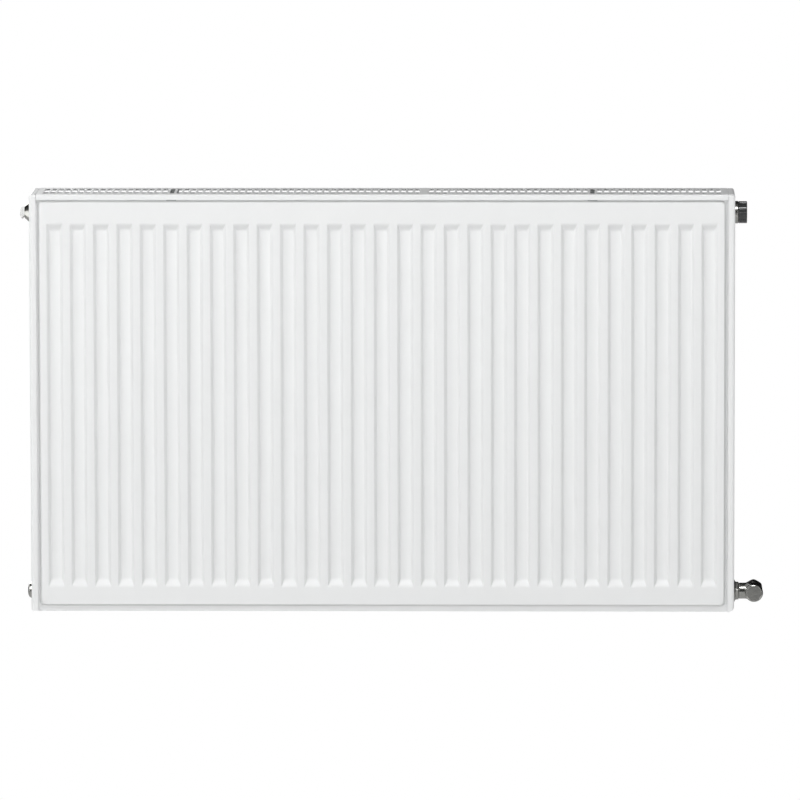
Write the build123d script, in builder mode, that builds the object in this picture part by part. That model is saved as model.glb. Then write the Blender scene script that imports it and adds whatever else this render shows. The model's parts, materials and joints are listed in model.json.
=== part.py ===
from build123d import *

import math
import os

# A steel panel radiator of type 22 with a built-in valve: two welded water panels, each with a
# convector sheet, held together by four pipe tees, and closed by two side covers and a top grille.
#
# Frame, in millimetres: X along the length, Y from the room to the wall, Z up. The origin is the
# middle of the rear panel's bottom edge, on the seam between its two sheets. The room is at -Y.

os.makedirs("parts", exist_ok=True)

# ---- driving dimensions ----
HEIGHT = 600.0  # floor edge to the top of the grille
LENGTH = 1000.0  # water panels
PANEL_HEIGHT = 594.0
PANEL_CORNER = 8.0
SHEET = 1.25  # pressed water panel sheet
CHANNELS = 30
CHANNEL_RISE = 7.0  # seam plane to the crown of a channel
PANEL_SPACING = 86.0  # seam plane to seam plane
COVER_SHEET = 0.8  # side covers and grille
PORT_SPAN = 546.0  # lower port axis to upper port axis
PORT_LOW_Z = 24.0

# ---- pressed pattern of a water panel ----
PITCH = LENGTH / CHANNELS
GROOVES = CHANNELS - 1
PANEL_MIDDLE_Z = PANEL_HEIGHT / 2
PAD_FOOT = (981.0, 583.0)  # outline of the raised pad where it leaves the flange
PAD_CROWN = (972.0, 573.0)
PAD_CORNER = 7.0
GROOVE_RIM = (22.3, 520.6)
GROOVE_FLOOR = (15.4, 503.0)

# ---- places through the depth ----
REAR_SEAM_Y = 0.0
FRONT_SEAM_Y = REAR_SEAM_Y - PANEL_SPACING
REAR_INNER_Y = REAR_SEAM_Y - CHANNEL_RISE
FRONT_INNER_Y = FRONT_SEAM_Y + CHANNEL_RISE
REAR_OUTER_Y = REAR_SEAM_Y + CHANNEL_RISE
PORT_Y = (REAR_SEAM_Y + FRONT_SEAM_Y) / 2
CASING_FRONT_Y = FRONT_SEAM_Y - CHANNEL_RISE + 1.0  # covers sit 1 mm behind the face
CASING_REAR_Y = REAR_OUTER_Y - 1.0
CASING_DEPTH = CASING_REAR_Y - CASING_FRONT_Y
CASING_MIDDLE_Y = (CASING_REAR_Y + CASING_FRONT_Y) / 2

# ---- ports ----
PORT_HIGH_Z = PORT_LOW_Z + PORT_SPAN
PORT_FACE_X = 497.0
TEE_X = 470.0
TEE_TUBE_R = 12.5
TEE_BORE_R = 10.0
SOCKET_R = 14.0
THREAD_BORE_R = 10.45  # G1/2 female, drawn plain
THREAD_R = 10.4  # G1/2 male, drawn plain
THREAD_DEPTH = 14.0
SEAL_GAP = 2.2  # port face to fitting flange, filled by an O-ring
COVER_OUT = 6.0  # port face to the outside of a side cover

# ---- side covers and grille ----
COVER_OUTER_X = 503.0
COVER_INNER_X = 493.5
COVER_EDGE_R = 4.0
COVER_FOOT_R = 5.0
COVER_HOLE_R = 18.0
COVER_TAB = (16.0, 22.0, 0.8)
COVER_TAB_YS = (CASING_MIDDLE_Y - 27.0, CASING_MIDDLE_Y + 27.0)
GRILLE_LENGTH = 986.0
GRILLE_LIP = 8.0
GRILLE_REAR_LIP = 4.0  # the wall side stays open above the rear panel
SLOT_PITCH = 10.0
SLOT_COUNT = 97
SLOT_BLANK = 54  # this place along the row is left solid, over the stiffener
SLOT_SIZE = (68.0, 6.4)
CLIP_XS = (-300.0, 300.0)
CLIP_SHEET = 0.7
CLIP_GAP = 0.1

# ---- convectors ----
CONVECTOR_SHEET = 0.5
CONVECTOR_RISE = 32.0
CONVECTOR_FLAT = 9.0
CONVECTOR_BOTTOM_Z = 52.0
CONVECTOR_LENGTH = 490.0
CONVECTOR_CRESTS = 27
CONVECTOR_FIRST_X = -LENGTH / 2 + PITCH / 2

# ---- valve pipework ----
NIPPLE_SPACING = 50.0
SUPPLY_X = TEE_X - NIPPLE_SPACING
NIPPLE_R = 13.2  # G3/4 male, drawn plain
NIPPLE_BORE_R = 9.0
NIPPLE_FOOT_Z = 0.0
NIPPLE_TOP_Z = PORT_LOW_Z - SOCKET_R
BOSS_R = 14.0
SUPPLY_BLOCK_TOP_Z = 32.0
RISER_R = 7.5
RISER_BORE_R = 6.5
RISER_BEND_R = 15.0
HOUSING_INNER_X = 440.0

# ---- hanging lugs ----
LUG_XS = (-LENGTH / 2 + 4 * PITCH, LENGTH / 2 - 4 * PITCH)
LUG_ZS = (92.0, 502.0)
LUG_SHEET = 2.0
LUG_HEIGHT = 34.0
LUG_STAND_OFF = 12.0
LUG_FOOT = 9.0

# ---- return valve ----
RETURN_AXIS_OUT = 35.0  # port face to the axis of the valve's barrel
BARREL_FRONT = 14.0  # barrel ends, measured from the tailpiece axis
BARREL_REAR = 24.0
PIPE_BORE_R = 9.3  # G1/2 female, drawn at its minor diameter
PIPE_BORE_DEPTH = 13.0


def write(shape, name):
    """Labels a finished piece and writes it as its own STEP file."""
    shape.label = name
    export_step(shape, f"parts/{name}.step")


def port(side, z):
    """The plane of a port's face: Z points out of the port, and X points to the wall."""
    return Plane(origin=(side * PORT_FACE_X, PORT_Y, z), x_dir=(0, 1, 0), z_dir=(side, 0, 0))


def section_of(mouth):
    """The plane through an axis, for drawing (distance along the axis, radius)."""
    return Plane(origin=mouth.origin, x_dir=mouth.z_dir, z_dir=mouth.y_dir)


def turn(mouth, outline, mode=Mode.ADD):
    """Turns an outline of (distance out of the mouth, radius) points round the mouth's axis."""
    with BuildSketch(section_of(mouth)) as half:
        with BuildLine():
            Polyline(*outline, close=True)
        make_face()
    revolve(half.sketch, axis=Axis(mouth.origin, mouth.z_dir), mode=mode)


def turn_ring(mouth, out, ring_r, wire_r):
    """An O-ring of wire radius wire_r, centred on ring_r."""
    with BuildSketch(section_of(mouth)) as half:
        with Locations((out, ring_r)):
            Circle(wire_r)
    revolve(half.sketch, axis=Axis(mouth.origin, mouth.z_dir))


def prism(mouth, start, length, across_flats, sides=6, turned=0.0, mode=Mode.ADD):
    """A regular prism along the mouth's axis, with a corner on the mouth's X when not turned."""
    with BuildSketch(mouth.offset(start)) as outline:
        RegularPolygon(across_flats / 2, sides, major_radius=False, rotation=turned)
    extrude(outline.sketch, amount=length, mode=mode)


def rod(mouth, start, length, radius, mode=Mode.ADD):
    """A round bar, or a bore with mode=Mode.SUBTRACT, along the mouth's axis."""
    with BuildSketch(mouth.offset(start)) as outline:
        Circle(radius)
    extrude(outline.sketch, amount=length, mode=mode)


# ---- water panels ----
def frustum(low, low_z, high, high_z, corner=0.0):
    """A block that tapers between two rectangles, each centred on the Z axis."""
    with BuildPart() as block:
        for size, z in ((low, low_z), (high, high_z)):
            with BuildSketch(Plane.XY.offset(z)):
                if corner:
                    RectangleRounded(*size, corner)
                else:
                    Rectangle(*size)
        loft(ruled=True)
    return block.part


def in_every_groove(tool):
    """Copies of a tool, one on the axis of each groove."""
    first = -(GROOVES - 1) / 2 * PITCH
    return [tool.moved(Location((first + i * PITCH, 0, 0))) for i in range(GROOVES)]


def lean(low, high, rise):
    """How far each side of a tapered block moves out for every millimetre of height."""
    return tuple((h - l) / 2 / rise for l, h in zip(low, high))


def at_height(low, leans, height):
    """The size of a tapered block at a height above its low end."""
    return tuple(l + 2 * side * height for l, side in zip(low, leans))


def through_wall(size, leans, outward):
    """The size on the other surface of a sheet that follows the block's sides."""
    return tuple(d + 2 * outward * SHEET * math.hypot(1, side) for d, side in zip(size, leans))


GROOVE_DEPTH = CHANNEL_RISE - SHEET
TOOL_RISE = 1.2 * GROOVE_DEPTH  # cutting tools run on past the crown
GROOVE_LEAN = lean(GROOVE_FLOOR, GROOVE_RIM, GROOVE_DEPTH)
PAD_LEAN = lean(PAD_FOOT, PAD_CROWN, CHANNEL_RISE)

pad_tool = frustum(PAD_FOOT, 0, PAD_CROWN, CHANNEL_RISE, PAD_CORNER)
pan_tool = frustum(
    through_wall(PAD_FOOT, PAD_LEAN, -1),
    0,
    through_wall(at_height(PAD_FOOT, PAD_LEAN, GROOVE_DEPTH), PAD_LEAN, -1),
    GROOVE_DEPTH,
    PAD_CORNER - SHEET,
)
groove_tool = frustum(
    GROOVE_FLOOR,
    SHEET,
    at_height(GROOVE_FLOOR, GROOVE_LEAN, TOOL_RISE),
    SHEET + TOOL_RISE,
)
ridge_tool = frustum(
    through_wall(at_height(GROOVE_FLOOR, GROOVE_LEAN, -SHEET), GROOVE_LEAN, 1),
    0,
    through_wall(at_height(GROOVE_FLOOR, GROOVE_LEAN, TOOL_RISE - SHEET), GROOVE_LEAN, 1),
    TOOL_RISE,
)

# The water space of one sheet: a shallow pan with a ridge under each groove.
with BuildPart() as water_space:
    add(pan_tool)
    add(in_every_groove(ridge_tool), mode=Mode.SUBTRACT)

# A pressed sheet, lying on its seam plane with the channels rising along Z.
with BuildPart() as plain_sheet:
    with BuildSketch():
        RectangleRounded(LENGTH, PANEL_HEIGHT, PANEL_CORNER)
    extrude(amount=SHEET)
    add(pad_tool)
    add(in_every_groove(groove_tool), mode=Mode.SUBTRACT)
    add(water_space.part, mode=Mode.SUBTRACT)

# The same sheet with a water hole for each pipe tee.
with BuildPart() as drilled_sheet:
    add(plain_sheet.part)
    with GridLocations(2 * TEE_X, PORT_SPAN, 2, 2):
        Cylinder(TEE_BORE_R, 3 * CHANNEL_RISE, mode=Mode.SUBTRACT)

for name, sheet, seam_y, outward in (
    ("front_panel_face_sheet", plain_sheet, FRONT_SEAM_Y, -1),
    ("front_panel_inner_sheet", drilled_sheet, FRONT_SEAM_Y, 1),
    ("rear_panel_inner_sheet", drilled_sheet, REAR_SEAM_Y, -1),
    ("rear_panel_wall_sheet", plain_sheet, REAR_SEAM_Y, 1),
):
    seam = Plane(origin=(0, seam_y, PANEL_MIDDLE_Z), x_dir=(1, 0, 0), z_dir=(0, outward, 0))
    write(sheet.part.moved(seam.location), name)


# ---- convectors ----
def convector_outline(base_y, inward):
    """A trapezoidal wave of one sheet thickness, welded on the crown of each channel."""
    rise = CONVECTOR_RISE - CONVECTOR_SHEET
    half_flat = CONVECTOR_FLAT / 2
    run = PITCH / 2 - CONVECTOR_FLAT
    lean = CONVECTOR_SHEET * math.tan(math.atan2(rise, run) / 2)
    near, far = [], []
    for i in range(CONVECTOR_CRESTS):
        crest_x = CONVECTOR_FIRST_X + i * PITCH
        corners = [(crest_x - half_flat, 0.0, lean), (crest_x + half_flat, 0.0, -lean)]
        if i < CONVECTOR_CRESTS - 1:
            valley_x = crest_x + PITCH / 2
            corners += [(valley_x - half_flat, rise, -lean), (valley_x + half_flat, rise, lean)]
        for x, out, shift in corners:
            near.append((x, base_y + inward * out))
            far.append((x + shift, base_y + inward * (out + CONVECTOR_SHEET)))
    return near + far[::-1]


for name, base_y, inward in (
    ("front_convector", FRONT_INNER_Y, 1),
    ("rear_convector", REAR_INNER_Y, -1),
):
    with BuildPart() as convector:
        with BuildSketch(Plane.XY.offset(CONVECTOR_BOTTOM_Z)):
            with BuildLine():
                Polyline(*convector_outline(base_y, inward), close=True)
            make_face()
        extrude(amount=CONVECTOR_LENGTH)
    write(convector.part, name)


# ---- side covers ----
def cover_block(side, inset):
    """The outer or inner block of a side cover, rounded along its outer edges."""
    width = COVER_OUTER_X - COVER_INNER_X
    with BuildPart() as block:
        with Locations((side * (COVER_INNER_X + width / 2), CASING_MIDDLE_Y, HEIGHT / 2)):
            Box(width, CASING_DEPTH, HEIGHT)
        outer_face = block.faces().sort_by(Axis.X)[-1 if side > 0 else 0]
        along_y = outer_face.edges().filter_by(Axis.Y).sort_by(Axis.Z)
        upright = outer_face.edges().filter_by(Axis.Z)
        across = block.edges().filter_by(Axis.X).group_by(Axis.Z)[-1]
        fillet(along_y[:1], COVER_FOOT_R)
        fillet(upright + along_y[-1:] + across, COVER_EDGE_R)
        if inset:
            offset(amount=-inset)
    return block.part


for name, side in (("left_side_cover", -1), ("right_side_cover", 1)):
    with BuildPart() as cover:
        add(cover_block(side, 0.0))
        inner = cover_block(side, COVER_SHEET)
        add(inner, mode=Mode.SUBTRACT)
        # The inner side and the foot between the curled edges are open.
        with Locations((side * COVER_INNER_X, CASING_MIDDLE_Y, (HEIGHT - COVER_SHEET) / 2)):
            Box(
                2 * COVER_SHEET + 0.01,
                CASING_DEPTH - 2 * COVER_SHEET,
                HEIGHT - COVER_SHEET,
                mode=Mode.SUBTRACT,
            )
        foot_width = COVER_OUTER_X - COVER_INNER_X - COVER_FOOT_R
        with Locations((side * (COVER_INNER_X + foot_width / 2), CASING_MIDDLE_Y, 0)):
            Box(
                foot_width,
                CASING_DEPTH - 2 * COVER_SHEET,
                4 * COVER_SHEET,
                mode=Mode.SUBTRACT,
            )
        for z in (PORT_LOW_Z, PORT_HIGH_Z):
            rod(port(side, z), 0, 2 * COVER_OUT, COVER_HOLE_R, mode=Mode.SUBTRACT)
        for tab_y in COVER_TAB_YS:
            tab_x = side * (COVER_OUTER_X - COVER_EDGE_R - COVER_TAB[0] / 2)
            with Locations((tab_x, tab_y, HEIGHT - COVER_SHEET - COVER_TAB[2] / 2)):
                Box(*COVER_TAB)
    write(cover.part, name)

# Spring clips grip the upright flanges of both panels just inside each cover.
FLANGE = 2 * SHEET
COVER_CLIP_ZS = (130.0, 300.0, 470.0)
COVER_CLIP_HEIGHT = 16.0
COVER_CLIP_REACH = 6.0
for name, side in (("left_cover_clips", -1), ("right_cover_clips", 1)):
    with BuildPart() as clips:
        for seam_y in (FRONT_SEAM_Y, REAR_SEAM_Y):
            for z in COVER_CLIP_ZS:
                middle_x = side * (LENGTH / 2 - COVER_CLIP_REACH / 2 + CLIP_SHEET)
                with Locations((middle_x, seam_y, z)):
                    Box(
                        COVER_CLIP_REACH + CLIP_SHEET,
                        FLANGE + 2 * (CLIP_SHEET + CLIP_GAP),
                        COVER_CLIP_HEIGHT,
                    )
                slot_x = side * (LENGTH / 2 + CLIP_GAP - COVER_CLIP_REACH)
                with Locations((slot_x, seam_y, z)):
                    Box(
                        2 * COVER_CLIP_REACH,
                        FLANGE + 2 * CLIP_GAP,
                        COVER_CLIP_HEIGHT,
                        mode=Mode.SUBTRACT,
                    )
    write(clips.part, name)

# ---- top grille ----
with BuildPart() as top_grille:
    with Locations((0, CASING_MIDDLE_Y, HEIGHT - GRILLE_LIP / 2)):
        Box(GRILLE_LENGTH, CASING_DEPTH, GRILLE_LIP)
    long_edges = top_grille.edges().filter_by(Axis.X).group_by(Axis.Z)[-1]
    fillet(long_edges, 2 * COVER_SHEET)
    with Locations((0, CASING_MIDDLE_Y, HEIGHT - COVER_SHEET - GRILLE_LIP / 2)):
        Box(
            GRILLE_LENGTH,
            CASING_DEPTH - 2 * COVER_SHEET,
            GRILLE_LIP,
            mode=Mode.SUBTRACT,
        )
    lip_cut = GRILLE_LIP - GRILLE_REAR_LIP
    rear_lip_y = CASING_MIDDLE_Y + (CASING_DEPTH - COVER_SHEET) / 2
    with Locations((0, rear_lip_y, HEIGHT - GRILLE_LIP + lip_cut / 2)):
        Box(GRILLE_LENGTH, 2 * COVER_SHEET, lip_cut, mode=Mode.SUBTRACT)
    with BuildSketch(Plane.XY.offset(HEIGHT)):
        for i in range(SLOT_COUNT):
            if i != SLOT_BLANK:
                slot_x = (i - (SLOT_COUNT - 1) / 2) * SLOT_PITCH
                with Locations((slot_x, CASING_MIDDLE_Y)):
                    SlotOverall(*SLOT_SIZE, rotation=90)
    extrude(amount=-2 * COVER_SHEET, mode=Mode.SUBTRACT)
write(top_grille.part, "top_grille")

STIFFENER = (8.0, 92.0, 4.5)
STIFFENER_X = (SLOT_BLANK - (SLOT_COUNT - 1) / 2) * SLOT_PITCH
with BuildPart() as grille_stiffener:
    with Locations((STIFFENER_X, CASING_MIDDLE_Y, HEIGHT - COVER_SHEET - STIFFENER[2] / 2)):
        Box(*STIFFENER)
        Box(
            STIFFENER[0] - 2 * CLIP_SHEET,
            STIFFENER[1],
            STIFFENER[2] - 2 * CLIP_SHEET,
            mode=Mode.SUBTRACT,
        )
    # Notches stand astride the top edges of the two panels.
    for seam_y in (FRONT_SEAM_Y, REAR_SEAM_Y):
        with Locations((STIFFENER_X, seam_y, PANEL_HEIGHT)):
            Box(STIFFENER[0], FLANGE + 1.0, 2.0, mode=Mode.SUBTRACT)
write(grille_stiffener.part, "grille_stiffener")

GRILLE_CLIP_WIDTH = 14.0
GRILLE_CLIP_FOOT_Z = 590.5
GRILLE_CLIP_TOP_Z = HEIGHT - COVER_SHEET
with BuildPart() as grille_clips:
    for clip_x in CLIP_XS:
        for seam_y in (FRONT_SEAM_Y, REAR_SEAM_Y):
            clip_height = GRILLE_CLIP_TOP_Z - GRILLE_CLIP_FOOT_Z
            with Locations((clip_x, seam_y, GRILLE_CLIP_FOOT_Z + clip_height / 2)):
                Box(GRILLE_CLIP_WIDTH, FLANGE + 2 * (CLIP_SHEET + CLIP_GAP), clip_height)
                with Locations((0, 0, -CLIP_SHEET)):
                    Box(
                        GRILLE_CLIP_WIDTH,
                        FLANGE + 2 * CLIP_GAP,
                        clip_height,
                        mode=Mode.SUBTRACT,
                    )
write(grille_clips.part, "grille_clips")


# ---- pipe tees ----
def tee(side, z, socket_start_x):
    """A tube between the panels with a threaded socket that faces the end of the radiator."""
    mouth = port(side, z)
    tube = Plane(origin=(side * TEE_X, FRONT_INNER_Y, z), x_dir=(1, 0, 0), z_dir=(0, 1, 0))
    span = REAR_INNER_Y - FRONT_INNER_Y
    socket_length = PORT_FACE_X - socket_start_x
    with BuildPart() as body:
        rod(tube, 0, span, TEE_TUBE_R)
        rod(mouth, -socket_length, socket_length, SOCKET_R)
        rod(tube, 0, span, TEE_BORE_R, mode=Mode.SUBTRACT)
        rod(mouth, -THREAD_DEPTH, THREAD_DEPTH, THREAD_BORE_R, mode=Mode.SUBTRACT)
        rod(mouth, TEE_X - PORT_FACE_X, PORT_FACE_X - TEE_X, TEE_BORE_R, mode=Mode.SUBTRACT)
    return body.part


write(tee(-1, PORT_HIGH_Z, TEE_X), "vent_tee")
write(tee(-1, PORT_LOW_Z, TEE_X), "plug_tee")

# The return tee also has a boss below for the return nipple.
boss_foot = Plane(origin=(TEE_X, PORT_Y, NIPPLE_TOP_Z))
with BuildPart() as return_tee:
    add(tee(1, PORT_LOW_Z, TEE_X))
    rod(boss_foot, 0, PORT_LOW_Z - NIPPLE_TOP_Z, BOSS_R)
    rod(boss_foot, 0, PORT_LOW_Z - NIPPLE_TOP_Z, NIPPLE_BORE_R, mode=Mode.SUBTRACT)
    tube_foot = Plane(origin=(TEE_X, FRONT_INNER_Y, PORT_LOW_Z), x_dir=(1, 0, 0), z_dir=(0, 1, 0))
    rod(tube_foot, 0, REAR_INNER_Y - FRONT_INNER_Y, TEE_BORE_R, mode=Mode.SUBTRACT)
    rod(port(1, PORT_LOW_Z), -THREAD_DEPTH, THREAD_DEPTH, THREAD_BORE_R, mode=Mode.SUBTRACT)
write(return_tee.part, "return_tee")

# The valve housing runs on inwards to the riser, with a bore for the valve insert.
INSERT_BORE_R = 8.3
INSERT_DEPTH = 44.0
HOUSING_INLET_R = 6.5
valve_mouth = port(1, PORT_HIGH_Z)
with BuildPart() as valve_housing:
    add(tee(1, PORT_HIGH_Z, HOUSING_INNER_X))
    rod(valve_mouth, -INSERT_DEPTH, INSERT_DEPTH, INSERT_BORE_R, mode=Mode.SUBTRACT)
    inlet_length = PORT_FACE_X - INSERT_DEPTH - HOUSING_INNER_X
    rod(
        valve_mouth,
        -INSERT_DEPTH - inlet_length,
        inlet_length,
        HOUSING_INLET_R,
        mode=Mode.SUBTRACT,
    )
write(valve_housing.part, "valve_housing")

# ---- nipples, supply block and riser ----
for name, x in (("supply_nipple", SUPPLY_X), ("return_nipple", TEE_X)):
    foot = Plane(origin=(x, PORT_Y, NIPPLE_FOOT_Z))
    with BuildPart() as nipple:
        rod(foot, 0, NIPPLE_TOP_Z - NIPPLE_FOOT_Z, NIPPLE_R)
        rod(foot, 0, NIPPLE_TOP_Z - NIPPLE_FOOT_Z, NIPPLE_BORE_R, mode=Mode.SUBTRACT)
    write(nipple.part, name)

block_foot = Plane(origin=(SUPPLY_X, PORT_Y, NIPPLE_TOP_Z))
with BuildPart() as supply_block:
    block_height = SUPPLY_BLOCK_TOP_Z - NIPPLE_TOP_Z
    rod(block_foot, 0, block_height, BOSS_R)
    fillet(supply_block.edges().group_by(Axis.Z)[-1], 4.0)
    rod(block_foot, 0, block_height - RISER_R, NIPPLE_BORE_R, mode=Mode.SUBTRACT)
    rod(block_foot, 0, block_height, RISER_BORE_R, mode=Mode.SUBTRACT)
write(supply_block.part, "supply_block")

BRIDGE = (NIPPLE_SPACING, 18.0, 3.0)
with BuildPart() as nipple_bridge:
    with Locations((SUPPLY_X + NIPPLE_SPACING / 2, PORT_Y, NIPPLE_TOP_Z + BRIDGE[2] / 2)):
        Box(*BRIDGE)
    for foot in (block_foot, boss_foot):
        rod(foot, 0, BRIDGE[2], BOSS_R, mode=Mode.SUBTRACT)
    rod(tube_foot, 0, REAR_INNER_Y - FRONT_INNER_Y, TEE_TUBE_R, mode=Mode.SUBTRACT)
write(nipple_bridge.part, "nipple_bridge")

with BuildPart() as riser_pipe:
    with BuildLine(Plane.XZ.offset(-PORT_Y)) as riser_path:
        upright = Line((SUPPLY_X, SUPPLY_BLOCK_TOP_Z), (SUPPLY_X, PORT_HIGH_Z - RISER_BEND_R))
        bend = TangentArc(
            upright @ 1,
            (SUPPLY_X + RISER_BEND_R, PORT_HIGH_Z),
            tangent=(0, 1),
        )
        Line(bend @ 1, (HOUSING_INNER_X, PORT_HIGH_Z))
    with BuildSketch(Plane(origin=(SUPPLY_X, PORT_Y, SUPPLY_BLOCK_TOP_Z))):
        Circle(RISER_R)
        Circle(RISER_BORE_R, mode=Mode.SUBTRACT)
    sweep(path=riser_path.line)
write(riser_pipe.part, "riser_pipe")

# ---- hanging lugs on the rear panel ----
LUG_WIDTH = PITCH - LUG_FOOT + 2 * LUG_SHEET
for row, z in zip(("lower", "upper"), LUG_ZS):
    for hand, x in zip(("left", "right"), LUG_XS):
        with BuildPart() as lug:
            foot_y = REAR_OUTER_Y + LUG_SHEET / 2
            with Locations((x - PITCH / 2, foot_y, z), (x + PITCH / 2, foot_y, z)):
                Box(LUG_FOOT, LUG_SHEET, LUG_HEIGHT)
            with Locations((x, REAR_OUTER_Y + LUG_STAND_OFF / 2, z)):
                Box(LUG_WIDTH, LUG_STAND_OFF, LUG_HEIGHT)
            rear_edges = lug.edges().filter_by(Axis.Z).group_by(Axis.Y)[-1]
            fillet(rear_edges, LUG_SHEET)
            with Locations((x, REAR_OUTER_Y + (LUG_STAND_OFF - LUG_SHEET) / 2, z)):
                Box(
                    LUG_WIDTH - 2 * LUG_SHEET,
                    LUG_STAND_OFF - LUG_SHEET,
                    LUG_HEIGHT,
                    mode=Mode.SUBTRACT,
                )
        write(lug.part, f"{row}_{hand}_lug")


# ---- seals between the ports and their fittings ----
for name, side, z in (
    ("vent_o_ring", -1, PORT_HIGH_Z),
    ("plug_o_ring", -1, PORT_LOW_Z),
    ("insert_o_ring", 1, PORT_HIGH_Z),
    ("tailpiece_o_ring", 1, PORT_LOW_Z),
):
    with BuildPart() as o_ring:
        turn_ring(port(side, z), SEAL_GAP / 2, THREAD_R + SEAL_GAP / 2 + 0.2, SEAL_GAP / 2)
    write(o_ring.part, name)

# ---- blind plug, lower left ----
plug_mouth = port(-1, PORT_LOW_Z)
PLUG_OUT = 13.4
PLUG_KEY_OUT = 7.4
with BuildPart() as blind_plug:
    turn(
        plug_mouth,
        [(-12, 0), (-12, 9.4), (-11, THREAD_R), (SEAL_GAP, THREAD_R), (SEAL_GAP, 14), (7, 14),
         (7, 12.6), (10.0, 11.4), (12.0, 9.4), (13.1, 7.2), (PLUG_OUT, 5.6), (PLUG_OUT, 0)],
    )
    prism(plug_mouth, PLUG_KEY_OUT, 6.5, 9.0, mode=Mode.SUBTRACT)
    rod(plug_mouth, -12, 12 + PLUG_KEY_OUT - 4, 6.5, mode=Mode.SUBTRACT)
write(blind_plug.part, "blind_plug")

# ---- air vent, upper left ----
vent_mouth = port(-1, PORT_HIGH_Z)
VENT_BORE_R = 2.5
VENT_STEM_R = 2.42
VENT_SEAT_OUT = -7.0
VENT_STEM_OUT = (-4.0, 16.2)
VENT_CONE_OUT = 14.8
VENT_KEY_R = 4.9  # recess for a radiator key
VENT_KEY_OUT = 16.1
VENT_SPIGOT_R = 5.9
VENT_SPIGOT_OUT = 20.8
VENT_HOLE_OUT = 17.6
with BuildPart() as vent_body:
    turn(
        vent_mouth,
        [(-12, 0), (-12, 9.4), (-11, THREAD_R), (SEAL_GAP, THREAD_R), (SEAL_GAP, 16), (6.4, 16),
         (VENT_CONE_OUT, 8.6), (VENT_CONE_OUT, VENT_SPIGOT_R), (VENT_SPIGOT_OUT, VENT_SPIGOT_R),
         (VENT_SPIGOT_OUT, 0)],
    )
    rod(vent_mouth, VENT_SEAT_OUT, VENT_SPIGOT_OUT - VENT_SEAT_OUT, VENT_BORE_R, mode=Mode.SUBTRACT)
    rod(vent_mouth, VENT_KEY_OUT, VENT_SPIGOT_OUT - VENT_KEY_OUT, VENT_KEY_R, mode=Mode.SUBTRACT)
    rod(vent_mouth, -12, 12 + VENT_SEAT_OUT, 1.2, mode=Mode.SUBTRACT)
    # A cross hole leads the air from the bore to the nozzle ring.
    cross_hole = Plane(
        origin=vent_mouth.offset(VENT_HOLE_OUT).origin,
        x_dir=vent_mouth.z_dir,
        z_dir=vent_mouth.x_dir,
    )
    rod(cross_hole, -VENT_SPIGOT_R, 2 * VENT_SPIGOT_R, 0.8, mode=Mode.SUBTRACT)
write(vent_body.part, "vent_body")

NOZZLE_BORE_R = VENT_SPIGOT_R + 0.08
NOZZLE_R = 7.6
NOZZLE_OUT = 20.4
with BuildPart() as vent_nozzle_ring:
    turn(
        vent_mouth,
        [(VENT_CONE_OUT + 0.1, NOZZLE_BORE_R), (VENT_CONE_OUT + 0.1, NOZZLE_R),
         (NOZZLE_OUT - 1.0, NOZZLE_R), (NOZZLE_OUT, NOZZLE_R - 0.7), (NOZZLE_OUT, NOZZLE_BORE_R)],
    )
    spout = Plane(
        origin=vent_mouth.offset(VENT_HOLE_OUT).origin,
        x_dir=vent_mouth.z_dir,
        z_dir=(0, -1, -1),
    )
    rod(spout, 6.4, 4.4, 1.9)
    rod(spout, 5.0, 7.0, 0.9, mode=Mode.SUBTRACT)
write(vent_nozzle_ring.part, "vent_nozzle_ring")

with BuildPart() as vent_screw:
    rod(vent_mouth, VENT_STEM_OUT[0], VENT_STEM_OUT[1] - VENT_STEM_OUT[0], VENT_STEM_R)
    prism(vent_mouth, VENT_STEM_OUT[1], 3.8, 5.0, sides=4)
write(vent_screw.part, "vent_screw")

with BuildPart() as vent_screw_seal:
    turn(
        vent_mouth,
        [(VENT_SEAT_OUT + 0.1, 0), (VENT_SEAT_OUT + 0.1, 1.9), (-6.2, VENT_STEM_R),
         (VENT_STEM_OUT[0], VENT_STEM_R), (VENT_STEM_OUT[0], 0)],
    )
write(vent_screw_seal.part, "vent_screw_seal")

# ---- thermostatic valve insert, upper right ----
PIN_R = 1.9
PIN_BORE_R = 1.96
STEM_R = 1.4
CHAMBER_R = 6.9
SEAT_OUT = -33.0
SEAT_R = 4.6
SPRING_FOOT_OUT = -18.0
SPRING_HEAD_OUT = -2.0
GLAND_FOOT_OUT = 6.0
with BuildPart() as valve_insert_body:
    turn(
        valve_mouth,
        [(-42, SEAT_R), (-42, 7.4), (-41, 8.2), (-14, 8.2), (-13, THREAD_R), (SEAL_GAP, THREAD_R),
         (SEAL_GAP, 16), (10.6, 16), (11.5, 15.2), (11.5, 13.4), (12.3, 13.4), (12.8, 13.9),
         (18.2, 13.9), (19, 13.1), (19, 6.2), (GLAND_FOOT_OUT, 6.2), (GLAND_FOOT_OUT, 5.2),
         (SPRING_FOOT_OUT, 5.2), (SPRING_FOOT_OUT, 2.0), (-20, 2.0), (-20, CHAMBER_R),
         (SEAT_OUT, CHAMBER_R), (SEAT_OUT, SEAT_R)],
    )
    # Four windows let the water out between the seat and the spring ledge.
    for turn_deg in (0, 90):
        window = Plane(
            origin=valve_mouth.offset(-25.0).origin, x_dir=(1, 0, 0), z_dir=(0, 1, 0)
        ).rotated((turn_deg, 0, 0))
        with BuildSketch(window.offset(-10)) as opening:
            RectangleRounded(8.0, 7.0, 1.5)
        extrude(opening.sketch, amount=20, mode=Mode.SUBTRACT)
write(valve_insert_body.part, "valve_insert_body")

with BuildPart() as valve_gland:
    turn(
        valve_mouth,
        [(GLAND_FOOT_OUT, PIN_BORE_R), (GLAND_FOOT_OUT, 6.15), (16, 6.15), (16, PIN_BORE_R)],
    )
write(valve_gland.part, "valve_gland")

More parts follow.
